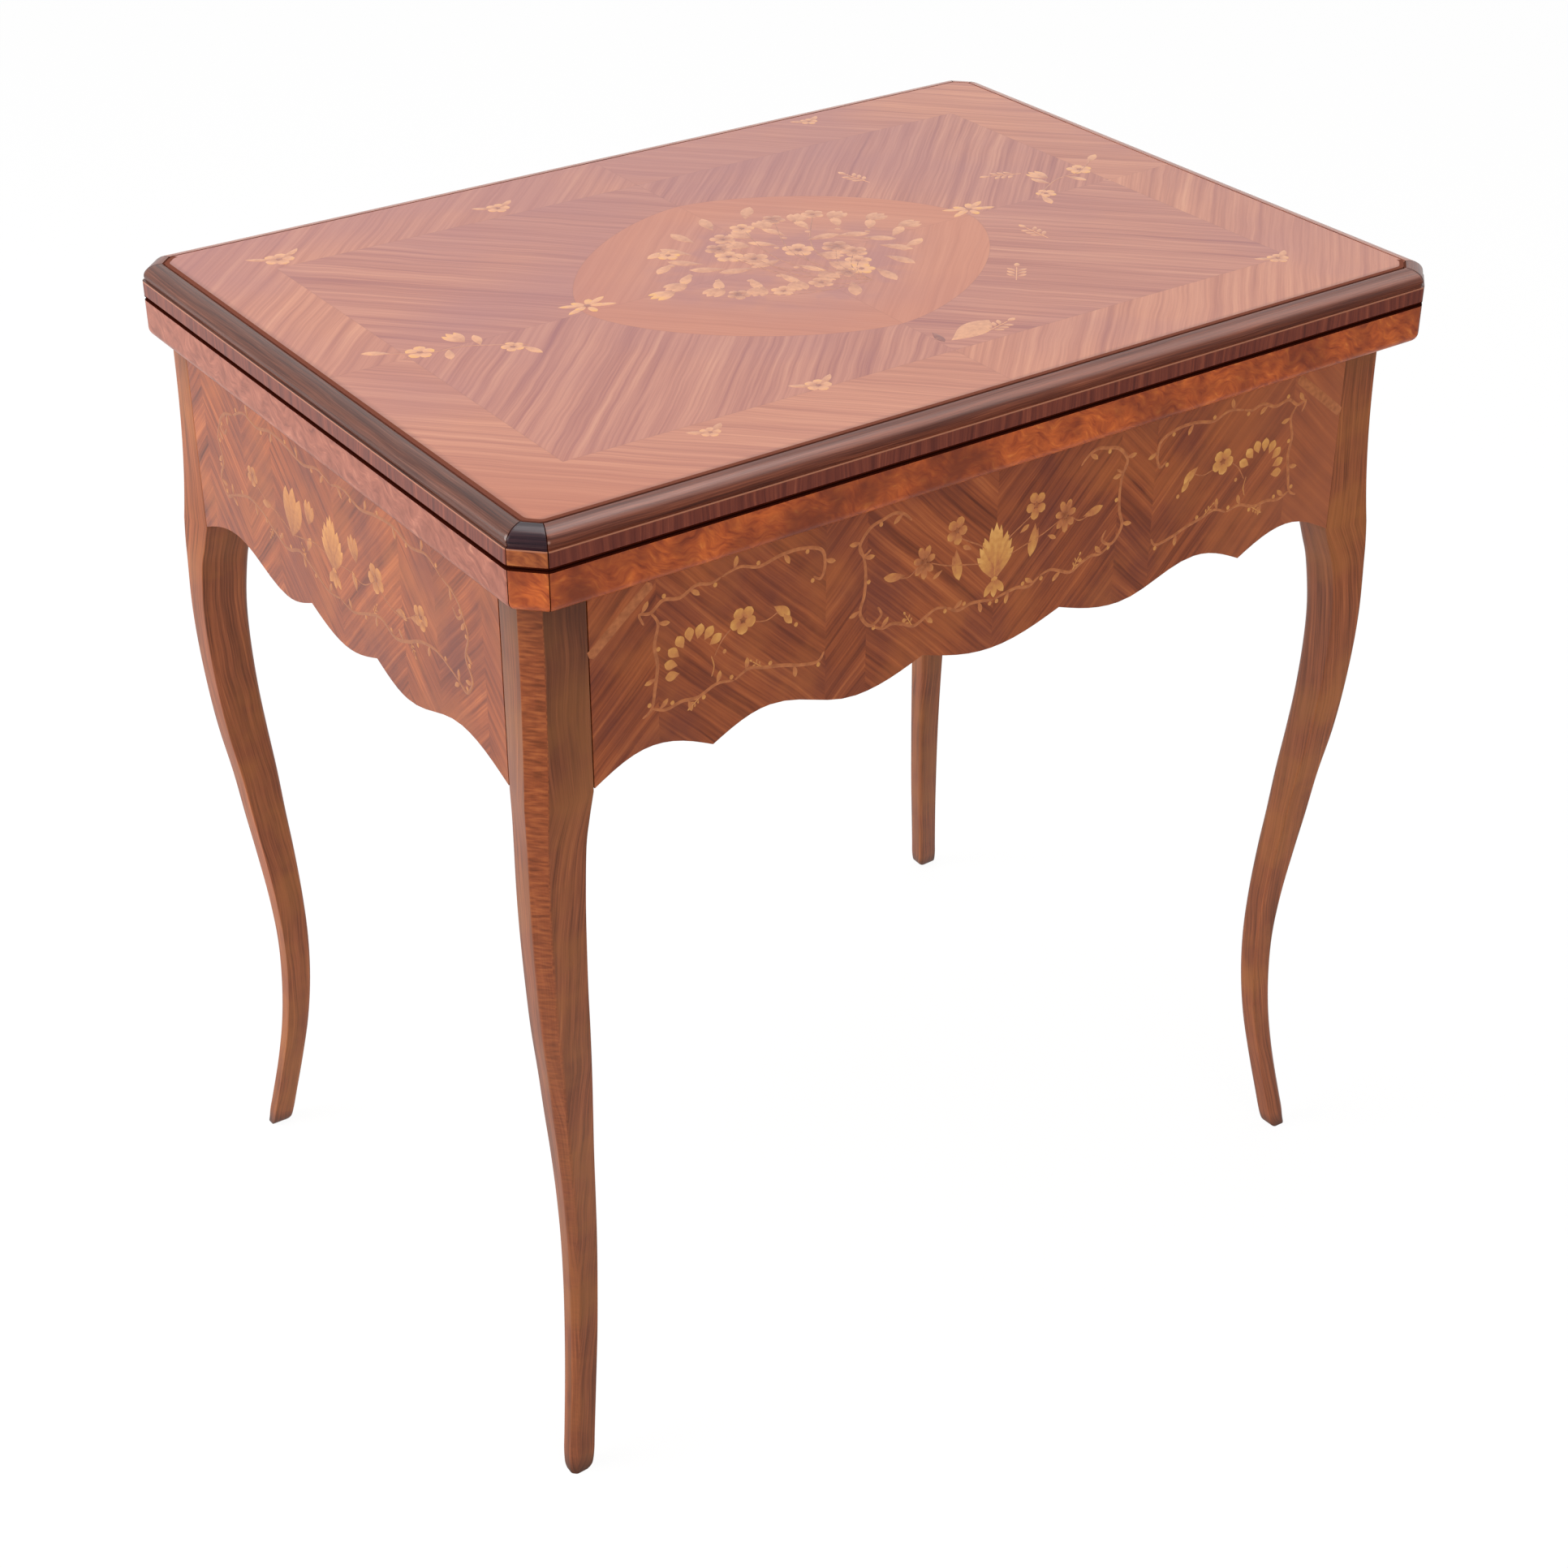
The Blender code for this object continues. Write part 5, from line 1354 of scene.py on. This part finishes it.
# The underside's rim, the chamfer and the foot of the band carry the painted shade of the parting gap.
slots[1:6] = (JOINT_AND_GAP_SHADE_SLOT, JOINT_AND_GAP_SHADE_SLOT, JOINT_AND_GAP_SHADE_SLOT, BAND_SLOT, STRING_SLOT)
slots[-3:-1] = WAX_SLOT
# On the far edges the upper part of the roll and the quirk take the painted sheen.
far_sheen_slots = slots.copy()
far_sheen_slots[-3 - FAR_SHEEN_STEPS:-1] = FAR_SHEEN_SLOT

for edge, label in enumerate(EDGE_NAMES):
    # The left edge's roll gets the darker copy of the wood: painted shade.
    roll_wood = left_shaded_wood if label == "left" else moulding_wood
    # Only the near corner piece takes the darker roll: a painted dark reflection.
    pair = (near_corner_reflection_wood, corner_band_wood) if edge % 2 else (roll_wood, edge_band)
    if edge % 2 and label != "cant_front_left":
        pair = (moulding_wood, corner_band_wood)
    edge_piece(
        f"rolled_moulding_{label}", edge, profile, upper_low,
        [*pair, string_line, dark_joint_and_gap_shade, old_wax, far_sheen_wood],
        far_sheen_slots if label in FAR_EDGES else slots, JOINT_AND_GAP_SHADE_SLOT,
        "upper_leaf", f"moulding_{label}",
    )


# Veneered field
# Tulipwood quarters, laid slanting so that they meet in diamonds: a small one in the middle, a
# wide panel round it and a border. Under old polish it is orange where the light wood shows and
# purplish where the dark does. The panel is the most strongly striped.

INLAY_ROOM = 0.00015  # the field lies this far down, so that the marquetry is level with its edge
MEDALLION_HALF = (0.163, 0.135)
MEDALLION_POWER = 1.6
PANEL_HALF = (0.295, 0.190)
SEAM_WIDTH = 0.0007
BORDER_LINE = 0.0030  # how far wax and wear darken the field in from the quirk
RIM_SCALE = 0.08  # metres, about, for one unit of the medallion's measure
FIELD_TONES = ((0.0, "#8E4C46"), (0.3, "#AC6A56"), (0.65, "#C7856A"), (1.0, "#DA9C7A"))
FIELD_MEAN = "#C07F69"
FIELD_PURPLE = "#A0686A"
CLOUD_RUN = (0.36, 0.66)
CLOUD_PURPLE_SHARE = 0.55
PANEL_PURPLE_SHARE = 0.30
GROUND_RUN = (0.48, 0.60)  # of the mottle behind the bouquet
GROUND_FADE = (0.60, 0.35)  # of the medallion's measure, going in
GROUND_PURPLE_SHARE = 0.45
SHEEN_PURPLE_LEAN = (-0.16, 0.08)  # painted sheen and shade: how much less of the clouds is in front, and more at the back
FIELD_SEAM = "#5A2A24"
SEAM_SHARE = 0.14
FIELD_EMBER = "#C27250"  # orange wood round the medallion
EMBER_RUN = (0.30, 0.80)  # of the medallion's measure, going out
EMBER_SHARE = 0.35
CORNER_EMBER = "#B66A4C"  # and, darker, towards the near left corner
CORNER_EMBER_SHARE = 0.85
CORNER_RUN = (-0.45, -0.60)  # X and Y together, towards that corner
BORDER_CALM = 0.35
RIM_RUN = (0.0175, 0.0225)  # insets over which the dark of the rim fades out
RIM_SHARE = 0.45
MEDALLION_CALM = 0.60
LEFT_SHEET_STEP = 1.7
FRONT_SHEET_STEP = 3.1


def field_zones(tree):
    """The place on the top, its distances from the middle lines, and the shares of its zones.

    round_middle is the sum of both distances, as shares of the medallion's half sizes, raised to
    a power: under 1 inside it. The panel is a rectangle. A seam is where any border is near.
    """
    place = add(tree, "SeparateXYZ", {0: add(tree, "TexCoord").outputs["Object"]}).outputs
    folded, reach, past = [], [], []
    for axis, medallion_half, panel_half in zip("XY", MEDALLION_HALF, PANEL_HALF):
        far = add(tree, "Math", {0: place[axis]}, operation="ABSOLUTE").outputs[0]
        share = add(tree, "Math", {0: far, 1: medallion_half}, operation="DIVIDE").outputs[0]
        folded.append(far)
        reach.append(add(tree, "Math", {0: share, 1: MEDALLION_POWER}, operation="POWER").outputs[0])
        past.append(add(tree, "Math", {0: far, 1: panel_half}, operation="SUBTRACT").outputs[0])
    round_middle = add(tree, "Math", {0: reach[0], 1: reach[1]}, operation="ADD").outputs[0]
    medallion = add(tree, "Math", {0: round_middle, 1: 1.0}, operation="LESS_THAN").outputs[0]
    past = add(tree, "Math", {0: past[0], 1: past[1]}, operation="MAXIMUM").outputs[0]
    panel = add(tree, "Math", {0: past, 1: 0.0}, operation="LESS_THAN").outputs[0]
    rim = add(tree, "Math", {0: round_middle, 1: 1.0}, operation="SUBTRACT").outputs[0]
    rim = add(tree, "Math", {0: rim, 1: RIM_SCALE}, operation="MULTIPLY").outputs[0]
    nearest = 1.0
    for distance in (rim, past, *folded):
        size = add(tree, "Math", {0: distance}, operation="ABSOLUTE").outputs[0]
        nearest = add(tree, "Math", {0: size, 1: nearest}, operation="MINIMUM").outputs[0]
    seam = add(tree, "MapRange", {
        "Value": nearest, "From Min": 0.0, "From Max": SEAM_WIDTH, "To Min": 1.0, "To Max": 0.0,
    }).outputs[0]
    return place, folded, round_middle, medallion, panel, seam


def quartered_field(tree):
    """Grain along the sides of each diamond, turned the other way in the panel between the two."""
    place, folded, _, medallion, panel, _ = field_zones(tree)
    middle = add(tree, "Math", {0: panel, 1: medallion}, operation="SUBTRACT").outputs[0]
    way = add(tree, "Math", {0: middle, 1: -2.0, 2: 1.0}, operation="MULTIPLY_ADD").outputs[0]
    slant = add(tree, "Math", {0: folded[1], 1: way}, operation="MULTIPLY").outputs[0]
    across = add(tree, "Math", {0: folded[0], 1: slant}, operation="ADD").outputs[0]
    along = add(tree, "Math", {0: folded[0], 1: slant}, operation="SUBTRACT").outputs[0]
    left = add(tree, "Math", {0: place["X"]}, operation="SIGN").outputs[0]
    front = add(tree, "Math", {0: place["Y"]}, operation="SIGN").outputs[0]
    sheet = middle
    for zone, step in ((left, LEFT_SHEET_STEP), (front, FRONT_SHEET_STEP), (medallion, MIDDLE_SHEET_STEP)):
        sheet = add(tree, "Math", {0: zone, 1: step, 2: sheet}, operation="MULTIPLY_ADD").outputs[0]
    return add(tree, "CombineXYZ", {"X": along, "Y": across, "Z": sheet}).outputs[0]


def field_tint(tree, colour):
    """Calmer figure outside the panel, orange and purple clouds, more purple towards the back as painted
    sheen and shade, and dark seams.
    """
    place, _, round_middle, medallion, panel, seam = field_zones(tree)
    calm = add(tree, "Math", {0: panel, 1: -BORDER_CALM, 2: BORDER_CALM}, operation="MULTIPLY_ADD").outputs[0]
    calm = add(tree, "Math", {0: medallion, 1: MEDALLION_CALM, 2: calm}, operation="MULTIPLY_ADD").outputs[0]
    colour = add(tree, "Mix", {0: calm, 6: colour, 7: linear(FIELD_MEAN)}, data_type="RGBA").outputs[2]
    spot = add(tree, "TexCoord").outputs["Object"]
    cloud = add(tree, "TexNoise", {"Vector": spot, "Scale": 6.0, "Detail": 3.0}).outputs["Fac"]
    # Painted sheen and shade: more of the purple clouds towards the back.
    back = add(tree, "MapRange", {
        "Value": place["Y"], "From Min": -half_top[1], "From Max": half_top[1],
        "To Min": SHEEN_PURPLE_LEAN[0], "To Max": SHEEN_PURPLE_LEAN[1],
    }).outputs[0]
    cloud = add(tree, "Math", {0: cloud, 1: back}, operation="ADD").outputs[0]
    cloud = add(tree, "MapRange", {
        "Value": cloud, "From Min": CLOUD_RUN[0], "From Max": CLOUD_RUN[1], "To Max": CLOUD_PURPLE_SHARE,
    }).outputs[0]
    colour = add(tree, "Mix", {0: cloud, 6: colour, 7: linear(FIELD_PURPLE)}, data_type="RGBA").outputs[2]
    ember = add(tree, "MapRange", {
        "Value": round_middle, "From Min": EMBER_RUN[0], "From Max": EMBER_RUN[1],
    }).outputs[0]
    ember = add(tree, "Math", {0: ember, 1: medallion}, operation="MULTIPLY").outputs[0]
    mottle = add(tree, "TexNoise", {"Vector": spot, "Scale": 28.0, "Detail": 3.0}).outputs["Fac"]
    ground = add(tree, "MapRange", {
        "Value": mottle, "From Min": GROUND_RUN[0], "From Max": GROUND_RUN[1],
    }).outputs[0]
    middle = add(tree, "MapRange", {
        "Value": round_middle, "From Min": GROUND_FADE[0], "From Max": GROUND_FADE[1],
    }).outputs[0]
    ground = add(tree, "Math", {0: ground, 1: middle}, operation="MULTIPLY").outputs[0]
    corner = add(tree, "Math", {0: place["X"], 1: place["Y"]}, operation="ADD").outputs[0]
    corner = add(tree, "MapRange", {
        "Value": corner, "From Min": CORNER_RUN[0], "From Max": CORNER_RUN[1],
    }).outputs[0]
    heart = add(tree, "Math", {0: panel, 1: medallion}, operation="SUBTRACT").outputs[0]
    heart = add(tree, "Math", {0: heart, 1: PANEL_PURPLE_SHARE}, operation="MULTIPLY").outputs[0]
    colour = add(tree, "Mix", {0: heart, 6: colour, 7: linear(FIELD_PURPLE)}, data_type="RGBA").outputs[2]
    for zone, code, most in (
        (ember, FIELD_EMBER, EMBER_SHARE), (ground, FIELD_PURPLE, GROUND_PURPLE_SHARE),
        (corner, CORNER_EMBER, CORNER_EMBER_SHARE),
    ):
        share = add(tree, "Math", {0: zone, 1: most}, operation="MULTIPLY").outputs[0]
        colour = add(tree, "Mix", {0: share, 6: colour, 7: linear(code)}, data_type="RGBA").outputs[2]
    dark = add(tree, "Math", {0: seam, 1: SEAM_SHARE}, operation="MULTIPLY").outputs[0]
    colour = add(tree, "Mix", {0: dark, 6: colour, 7: linear(FIELD_SEAM)}, data_type="RGBA").outputs[2]
    to_side = add(tree, "Math", {0: half_top[0], 1: place["X"]}, operation="ADD").outputs[0]
    to_front = add(tree, "Math", {0: half_top[1], 1: place["Y"]}, operation="ADD").outputs[0]
    rim = add(tree, "Math", {0: to_side, 1: to_front}, operation="MINIMUM").outputs[0]
    rim = add(tree, "MapRange", {"Value": rim, "From Min": RIM_RUN[0], "From Max": RIM_RUN[1]}).outputs[0]
    rim = add(tree, "Math", {0: 1.0, 1: rim}, operation="SUBTRACT").outputs[0]
    rim = add(tree, "Math", {0: rim, 1: RIM_SHARE}, operation="MULTIPLY").outputs[0]
    return add(tree, "Mix", {0: rim, 6: colour, 7: linear(FIELD_SEAM)}, data_type="RGBA").outputs[2]


field_veneer = wood(
    "quartered_tulipwood_field", quartered_field, FIELD_TONES, stripe=0.0076, streak=0.0026,
    figure=0.65, drawn=(70.0, 60.0, 40.0), sway=0.35, polish=0.33, tint=field_tint,
)
field_low, field_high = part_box("top_field")
top_level = field_high.z - INLAY_ROOM
corner_arcs = np.array([arris(corner, np.linspace(0, 1, ARRIS_STEPS + 1)) for corner in range(8)])
field_rings = []
for inset, height in ((0, field_low.z), (0, top_level), (BORDER_LINE, top_level)):
    plan = canted_corners([LIPPING_WIDTH + JOINT_GAP + inset])[0]
    plan = (plan[:, None] + corner_arcs).reshape(-1, 2)
    field_rings.append(np.column_stack([plan, np.full(len(plan), height)]))
field_rings = np.array(field_rings)
waxed = np.ones(field_rings.shape[1], np.int32)
waxed[3 * (ARRIS_STEPS + 1) - 1:5 * (ARRIS_STEPS + 1)] = 0  # the two far sides are left without it, light, to go with the painted sheen of the far edges
veneered_field = skin("veneered_field", field_rings, [field_veneer, old_wax], face_slots=waxed)
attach(veneered_field, "upper_leaf")
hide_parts("top_field")

# Bouquet: its oval and where its stems meet, its count of motifs, and the angle from one to the
# next, which spreads them evenly.
BOUQUET_MIDDLE = (12, -14)
BOUQUET_HALF = (96, 72)
BOUQUET_FOOT = (30, 62)
BOUQUET_MOTIFS = 58
EVEN_ANGLE = math.radians(137.5)


def bouquet(work):
    """A dense oval of small flowers, leaves, buds and berries, on stems from its lower edge."""
    foot = np.array(BOUQUET_FOOT)
    for number in range(BOUQUET_MOTIFS):
        share = math.sqrt((number + 0.5) / BOUQUET_MOTIFS)
        angle = number * EVEN_ANGLE
        x = BOUQUET_MIDDLE[0] + BOUQUET_HALF[0] * share * math.cos(angle)
        y = BOUQUET_MIDDLE[1] + BOUQUET_HALF[1] * share * math.sin(angle)
        outwards = math.degrees(math.atan2(y - BOUQUET_MIDDLE[1], x - BOUQUET_MIDDLE[0]))
        kind = number % 4
        if kind == 0:
            bend = (foot + [x, y]) / 2 + [0.16 * (y - foot[1]), -0.10 * (x - foot[0])]
            work.stem([foot, bend, (x, y)], width=1.1, tone=0.25)
            work.flower(x, y, 12.5 - 4.0 * share, 5, 90 + 30 * number, 0.84 - 0.13 * (number % 3))
        elif kind == 1:
            work.leaf(x, y, outwards + 25, 26, 9.5, 0.62, 0.3, curve=0.12)
        elif kind == 2:
            work.leaf(x, y, outwards - 40, 22, 8.0, 0.76, 0.4, curve=-0.12)
            work.disc(x - 3, y + 3, 2.2, 0.5)
        else:
            work.tulip(x, y, outwards, 20, 15, 0.66)


def top_design():
    """The bouquet, a star on each side, a spray at each end, and small flowers near the border."""
    work = Marquetry()
    bouquet(work)
    work.flower(-60, -57, 9, 5, 90, 1.0)
    work.flower(36, 40, 10, 6, 90, 1.0)
    work.tulip(-92, 2, 175, 22, 13, 1.0)
    for x in (-155, 170):
        work.flower(x, -10, 12, 5, 90, 1.0, fat=0.55)
        for turn in (20, 160, 205, 335):
            work.leaf(x, -10, turn, 20, 5, 0.85, 0.5)
    for side, x0, y0 in ((-1, -255, 4), (1, 262, -22)):
        work.stem([
            (x0 + 52 * side, y0 - 20), (x0 + 26 * side, y0 - 4), (x0, y0), (x0 - 36 * side, y0 + 22),
        ], width=1.4)
        work.flower(x0 + 30 * side, y0 - 8, 10, 5, 80, 0.95)
        work.flower(x0 - 24 * side, y0 + 18, 8, 5, 60, 0.9)
        work.tulip(x0 - 2 * side, y0 - 6, -100, 20, 12, 0.9)
        for dx, dy, turn, length in (
            (46, -16, -40, 20), (12, -2, 60, 17), (-8, 4, -110, 18), (-30, 20, 100, 18),
        ):
            facing = turn if side > 0 else 180 - turn
            work.leaf(x0 + dx * side, y0 + dy, facing, length, 6.5, 0.8, 0.35, curve=0.1 * side)
    for x, y, radius in (
        (-286, -205, 11), (-110, -207, 9), (190, -238, 7), (286, 190, 8), (-200, 205, 7), (-105, 185, 9),
    ):
        work.flower(x, y, radius, 5, 90, 0.85)
        work.leaf(x, y, 200, radius * 2.1, 5, 0.65, 0.3, curve=0.2)
        work.leaf(x, y, -20, radius * 2.1, 5, 0.65, 0.3, curve=-0.2)
    for x, y, turn in (
        (145, -97, -100), (250, -48, 200), (180, 68, -90), (110, 118, -50), (35, 178, -15),
    ):
        work.sprig(x, y, turn, 24, 3, 0.72)
    # One broad leaf with a dark stalk, at the front.
    work.leaf(8, 176, -12, 44, 20, 0.55, 0.62, curve=-0.10)
    work.leaf(6, 158, 100, 18, 6, 0.0, 0.0)
    return work


def top_face(u, v, lift):
    """Turns places on the top (right, down from its middle) into X, Y, Z."""
    return np.stack([u, -v, top_level + lift], axis=2)


top_design().lay_on("top_marquetry", top_face, faded_inlay, "upper_leaf", "tulipwood")


# Hinges, pivot and stop
# Two brass butt hinges are let into the back edges. A brass plate, screwed to the lower leaf from
# below, carries the stud that an iron washer and nut hold under the rail. A turned peg beside it
# stops the swivel at both ends.

# Old brass: yellow where hands and felt rub it, browner in hollows, with fine scratches.
BRASS_TONES = ((0.0, "#8A6530"), (0.5, "#B8924A"), (1.0, "#D3B066"))
rubbed_brass, tree = new_material("rubbed_cast_brass")
spot = add(tree, "TexCoord").outputs["Object"]
stain = add(tree, "TexNoise", {
    "Vector": spot, "Scale": 90.0, "Detail": 5.0, "Roughness": 0.65,
}).outputs["Fac"]
shade = add(tree, "MapRange", {"Value": stain, "From Min": 0.35, "From Max": 0.65}).outputs[0]
colour = add(tree, "ValToRGB", {"Fac": shade}, stops=BRASS_TONES).outputs["Color"]
dull = add(tree, "MapRange", {
    "Value": stain, "From Min": NOISE_RUN[0], "From Max": NOISE_RUN[1], "To Min": 0.42, "To Max": 0.24,
}).outputs[0]
end_with(tree, add(tree, "BsdfPrincipled", {
    "Base Color": colour, "Metallic": 1.0, "Roughness": dull,
}).outputs[0])
dress(rubbed_brass, "pivot_plate")
for side in ("left", "right"):
    dress(rubbed_brass, *[f"hinge_{side}_{part}" for part in ("lower", "upper", "pin")])

# Dark iron with a brown bloom of old rust.
IRON_TONES = ((0.0, "#6B6864"), (1.0, "#6A4A36"))
forged_iron, tree = new_material("forged_iron")
spot = add(tree, "TexCoord").outputs["Object"]
bloom = add(tree, "TexNoise", {
    "Vector": spot, "Scale": 320.0, "Detail": 6.0, "Roughness": 0.7,
}).outputs["Fac"]
rust = add(tree, "MapRange", {"Value": bloom, "From Min": 0.5, "From Max": 0.68}).outputs[0]
colour = add(tree, "ValToRGB", {"Fac": rust}, stops=IRON_TONES).outputs["Color"]
bare = add(tree, "MapRange", {"Value": rust, "To Min": 1.0, "To Max": 0.3}).outputs[0]
rough = add(tree, "MapRange", {"Value": bloom, "To Min": 0.35, "To Max": 0.7}).outputs[0]
pits = add(tree, "Bump", {"Height": bloom, "Strength": 0.4, "Distance": 0.0002}).outputs[0]
end_with(tree, add(tree, "BsdfPrincipled", {
    "Base Color": colour, "Metallic": bare, "Roughness": rough, "Normal": pits,
}).outputs[0])
dress(forged_iron, "pivot_washer", "pivot_nut")

PEG_TONES = ((0.0, "#5A3820"), (0.35, "#7A5030"), (0.65, "#93663F"), (1.0, "#A97B50"))
turned_beech = wood(
    "turned_beech_peg", along_axis("Z"), PEG_TONES, stripe=0.004, streak=0.0012, figure=0.4, polish=0.5,
)
dress(turned_beech, "stop_peg")

# Sizes of the screws' heads and slots, and where they sit on the hinges and the plate.
SCREW_SLOT_SHARE = 0.13  # of the head's radius, for half the slot
SCREW_RISE = 0.00012
SCREW_DEPTH = 0.0005
SCREW_ARC_STEPS = 14
SCREW_DISC_STEPS = 24
SCREW_DISC_SHARE = 0.98  # of the head's radius
HINGE_SCREW_TURNS = (0.6, 0.9)  # of the first slot, and from one to the next: nobody lined them up
PLATE_SCREW_TURNS = (0.4, 1.1)
HINGE_SCREW_RADIUS = 0.0021
HINGE_SCREW_INSET = 0.0048
HINGE_SCREW_SHARES = (0.14, 0.50, 0.86)
PLATE_SCREW_RADIUS = 0.0038
PLATE_SCREW_REACH = 0.024


def screw_head(name, x, y, z, up, radius, turn, body, material):
    """A slotted screw head, slightly domed: two D-shaped halves with the slot between, on a disc.

    Each ring of a half is an arc closed by its chord, drawn in by a share of the radius.
    """
    limit = math.asin(SCREW_SLOT_SHARE)
    grids = []
    for way in (0, math.pi):
        arc = np.linspace(limit, math.pi - limit, SCREW_ARC_STEPS) + turn + way
        outline = radius * np.column_stack([np.cos(arc), np.sin(arc)])
        centre = outline.mean(0)
        levels = ((1.0, -0.8 * SCREW_DEPTH), (1.0, 0.0), (0.93, SCREW_RISE), (0.6, 1.6 * SCREW_RISE))
        grids.append(np.array([
            np.column_stack([centre + (outline - centre) * share, np.full(len(outline), up * level)])
            for share, level in levels
        ]))
    disc = np.linspace(0, 2 * math.pi, SCREW_DISC_STEPS + 1)[:-1]
    outline = SCREW_DISC_SHARE * radius * np.column_stack([np.cos(disc), np.sin(disc)])
    grids.append(np.array([
        np.column_stack([outline, np.full(len(outline), up * level)])
        for level in (-SCREW_DEPTH, -0.6 * SCREW_DEPTH)
    ]))
    for index, grid in enumerate(grids):
        part = skin(f"{name}_{index}", grid + np.array([x, y, z]), [material])
        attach(part, body)


def chisel(piece, low, high):
    """Takes the box between two corners out of a piece, as a seat is cut for a hinge leaf."""
    seat_mesh = bpy.data.meshes.new("seat")
    corners = [(x, y, z) for x in (low[0], high[0]) for y in (low[1], high[1]) for z in (low[2], high[2])]
    sides = [(0, 1, 3, 2), (4, 6, 7, 5), (0, 4, 5, 1), (2, 3, 7, 6), (0, 2, 6, 4), (1, 5, 7, 3)]
    seat_mesh.from_pydata(corners, [], sides)
    seat = in_scene("seat", seat_mesh)
    cut = piece.modifiers.new("seat", "BOOLEAN")
    cut.operation = "DIFFERENCE"
    cut.solver = "EXACT"
    cut.object = seat
    graph = bpy.context.evaluated_depsgraph_get()
    carved = bpy.data.meshes.new_from_object(piece.evaluated_get(graph))
    piece.modifiers.remove(cut)
    piece.data = carved
    carved.shade_smooth()
    carved.set_sharp_from_angle(angle=math.radians(EDGE_CRISP_ANGLE))
    bpy.data.objects.remove(seat)


HINGE_LEAF_THICKNESS = 0.0016
HINGE_SEAT_GAP = 0.0003
for label in ("left", "right"):
    low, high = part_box(f"hinge_{label}_lower")
    pin_low, pin_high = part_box(f"hinge_{label}_pin")
    knuckle = (high.z - low.z) / 2
    seam = (high.z + low.z) / 2
    for side, body, face, way, edge in (
        ("lower", "lower_leaf", lip_high, 1, "burr_lip_back"),
        ("upper", "upper_leaf", upper_low, -1, "rolled_moulding_back"),
    ):
        leaf_seat = face - way * (HINGE_LEAF_THICKNESS + HINGE_SEAT_GAP)
        knuckle_seat = seam - way * (knuckle + 2 * HINGE_SEAT_GAP)
        knuckle_start = high.y - 2 * knuckle - 2 * HINGE_SEAT_GAP
        for start_x, start_y, end_x, deep in (
            (low.x, low.y - HINGE_SEAT_GAP, high.x, leaf_seat),
            (pin_low.x, knuckle_start, pin_high.x, knuckle_seat),
        ):
            chisel(
                bpy.data.objects[edge],
                (start_x - HINGE_SEAT_GAP, start_y, min(deep, seam)),
                (end_x + HINGE_SEAT_GAP, high.y + HINGE_SEAT_GAP, max(deep, seam)),
            )
        for number, share in enumerate(HINGE_SCREW_SHARES):
            screw_head(
                f"hinge_screw_{label}_{side}_{number}",
                low.x + (high.x - low.x) * share, low.y + HINGE_SCREW_INSET, face, way, HINGE_SCREW_RADIUS,
                HINGE_SCREW_TURNS[0] + HINGE_SCREW_TURNS[1] * number, body, rubbed_brass,
            )

plate_low, plate_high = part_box("pivot_plate")
plate_middle = ((plate_low.x + plate_high.x) / 2, (plate_low.y + plate_high.y) / 2)
for number, (side_x, side_y) in enumerate(((-1, -1), (1, -1), (1, 1), (-1, 1))):
    screw_head(
        f"plate_screw_{number}",
        plate_middle[0] + side_x * PLATE_SCREW_REACH, plate_middle[1] + side_y * PLATE_SCREW_REACH,
        lip_low, -1, PLATE_SCREW_RADIUS, PLATE_SCREW_TURNS[0] + PLATE_SCREW_TURNS[1] * number,
        "lower_leaf", rubbed_brass,
    )
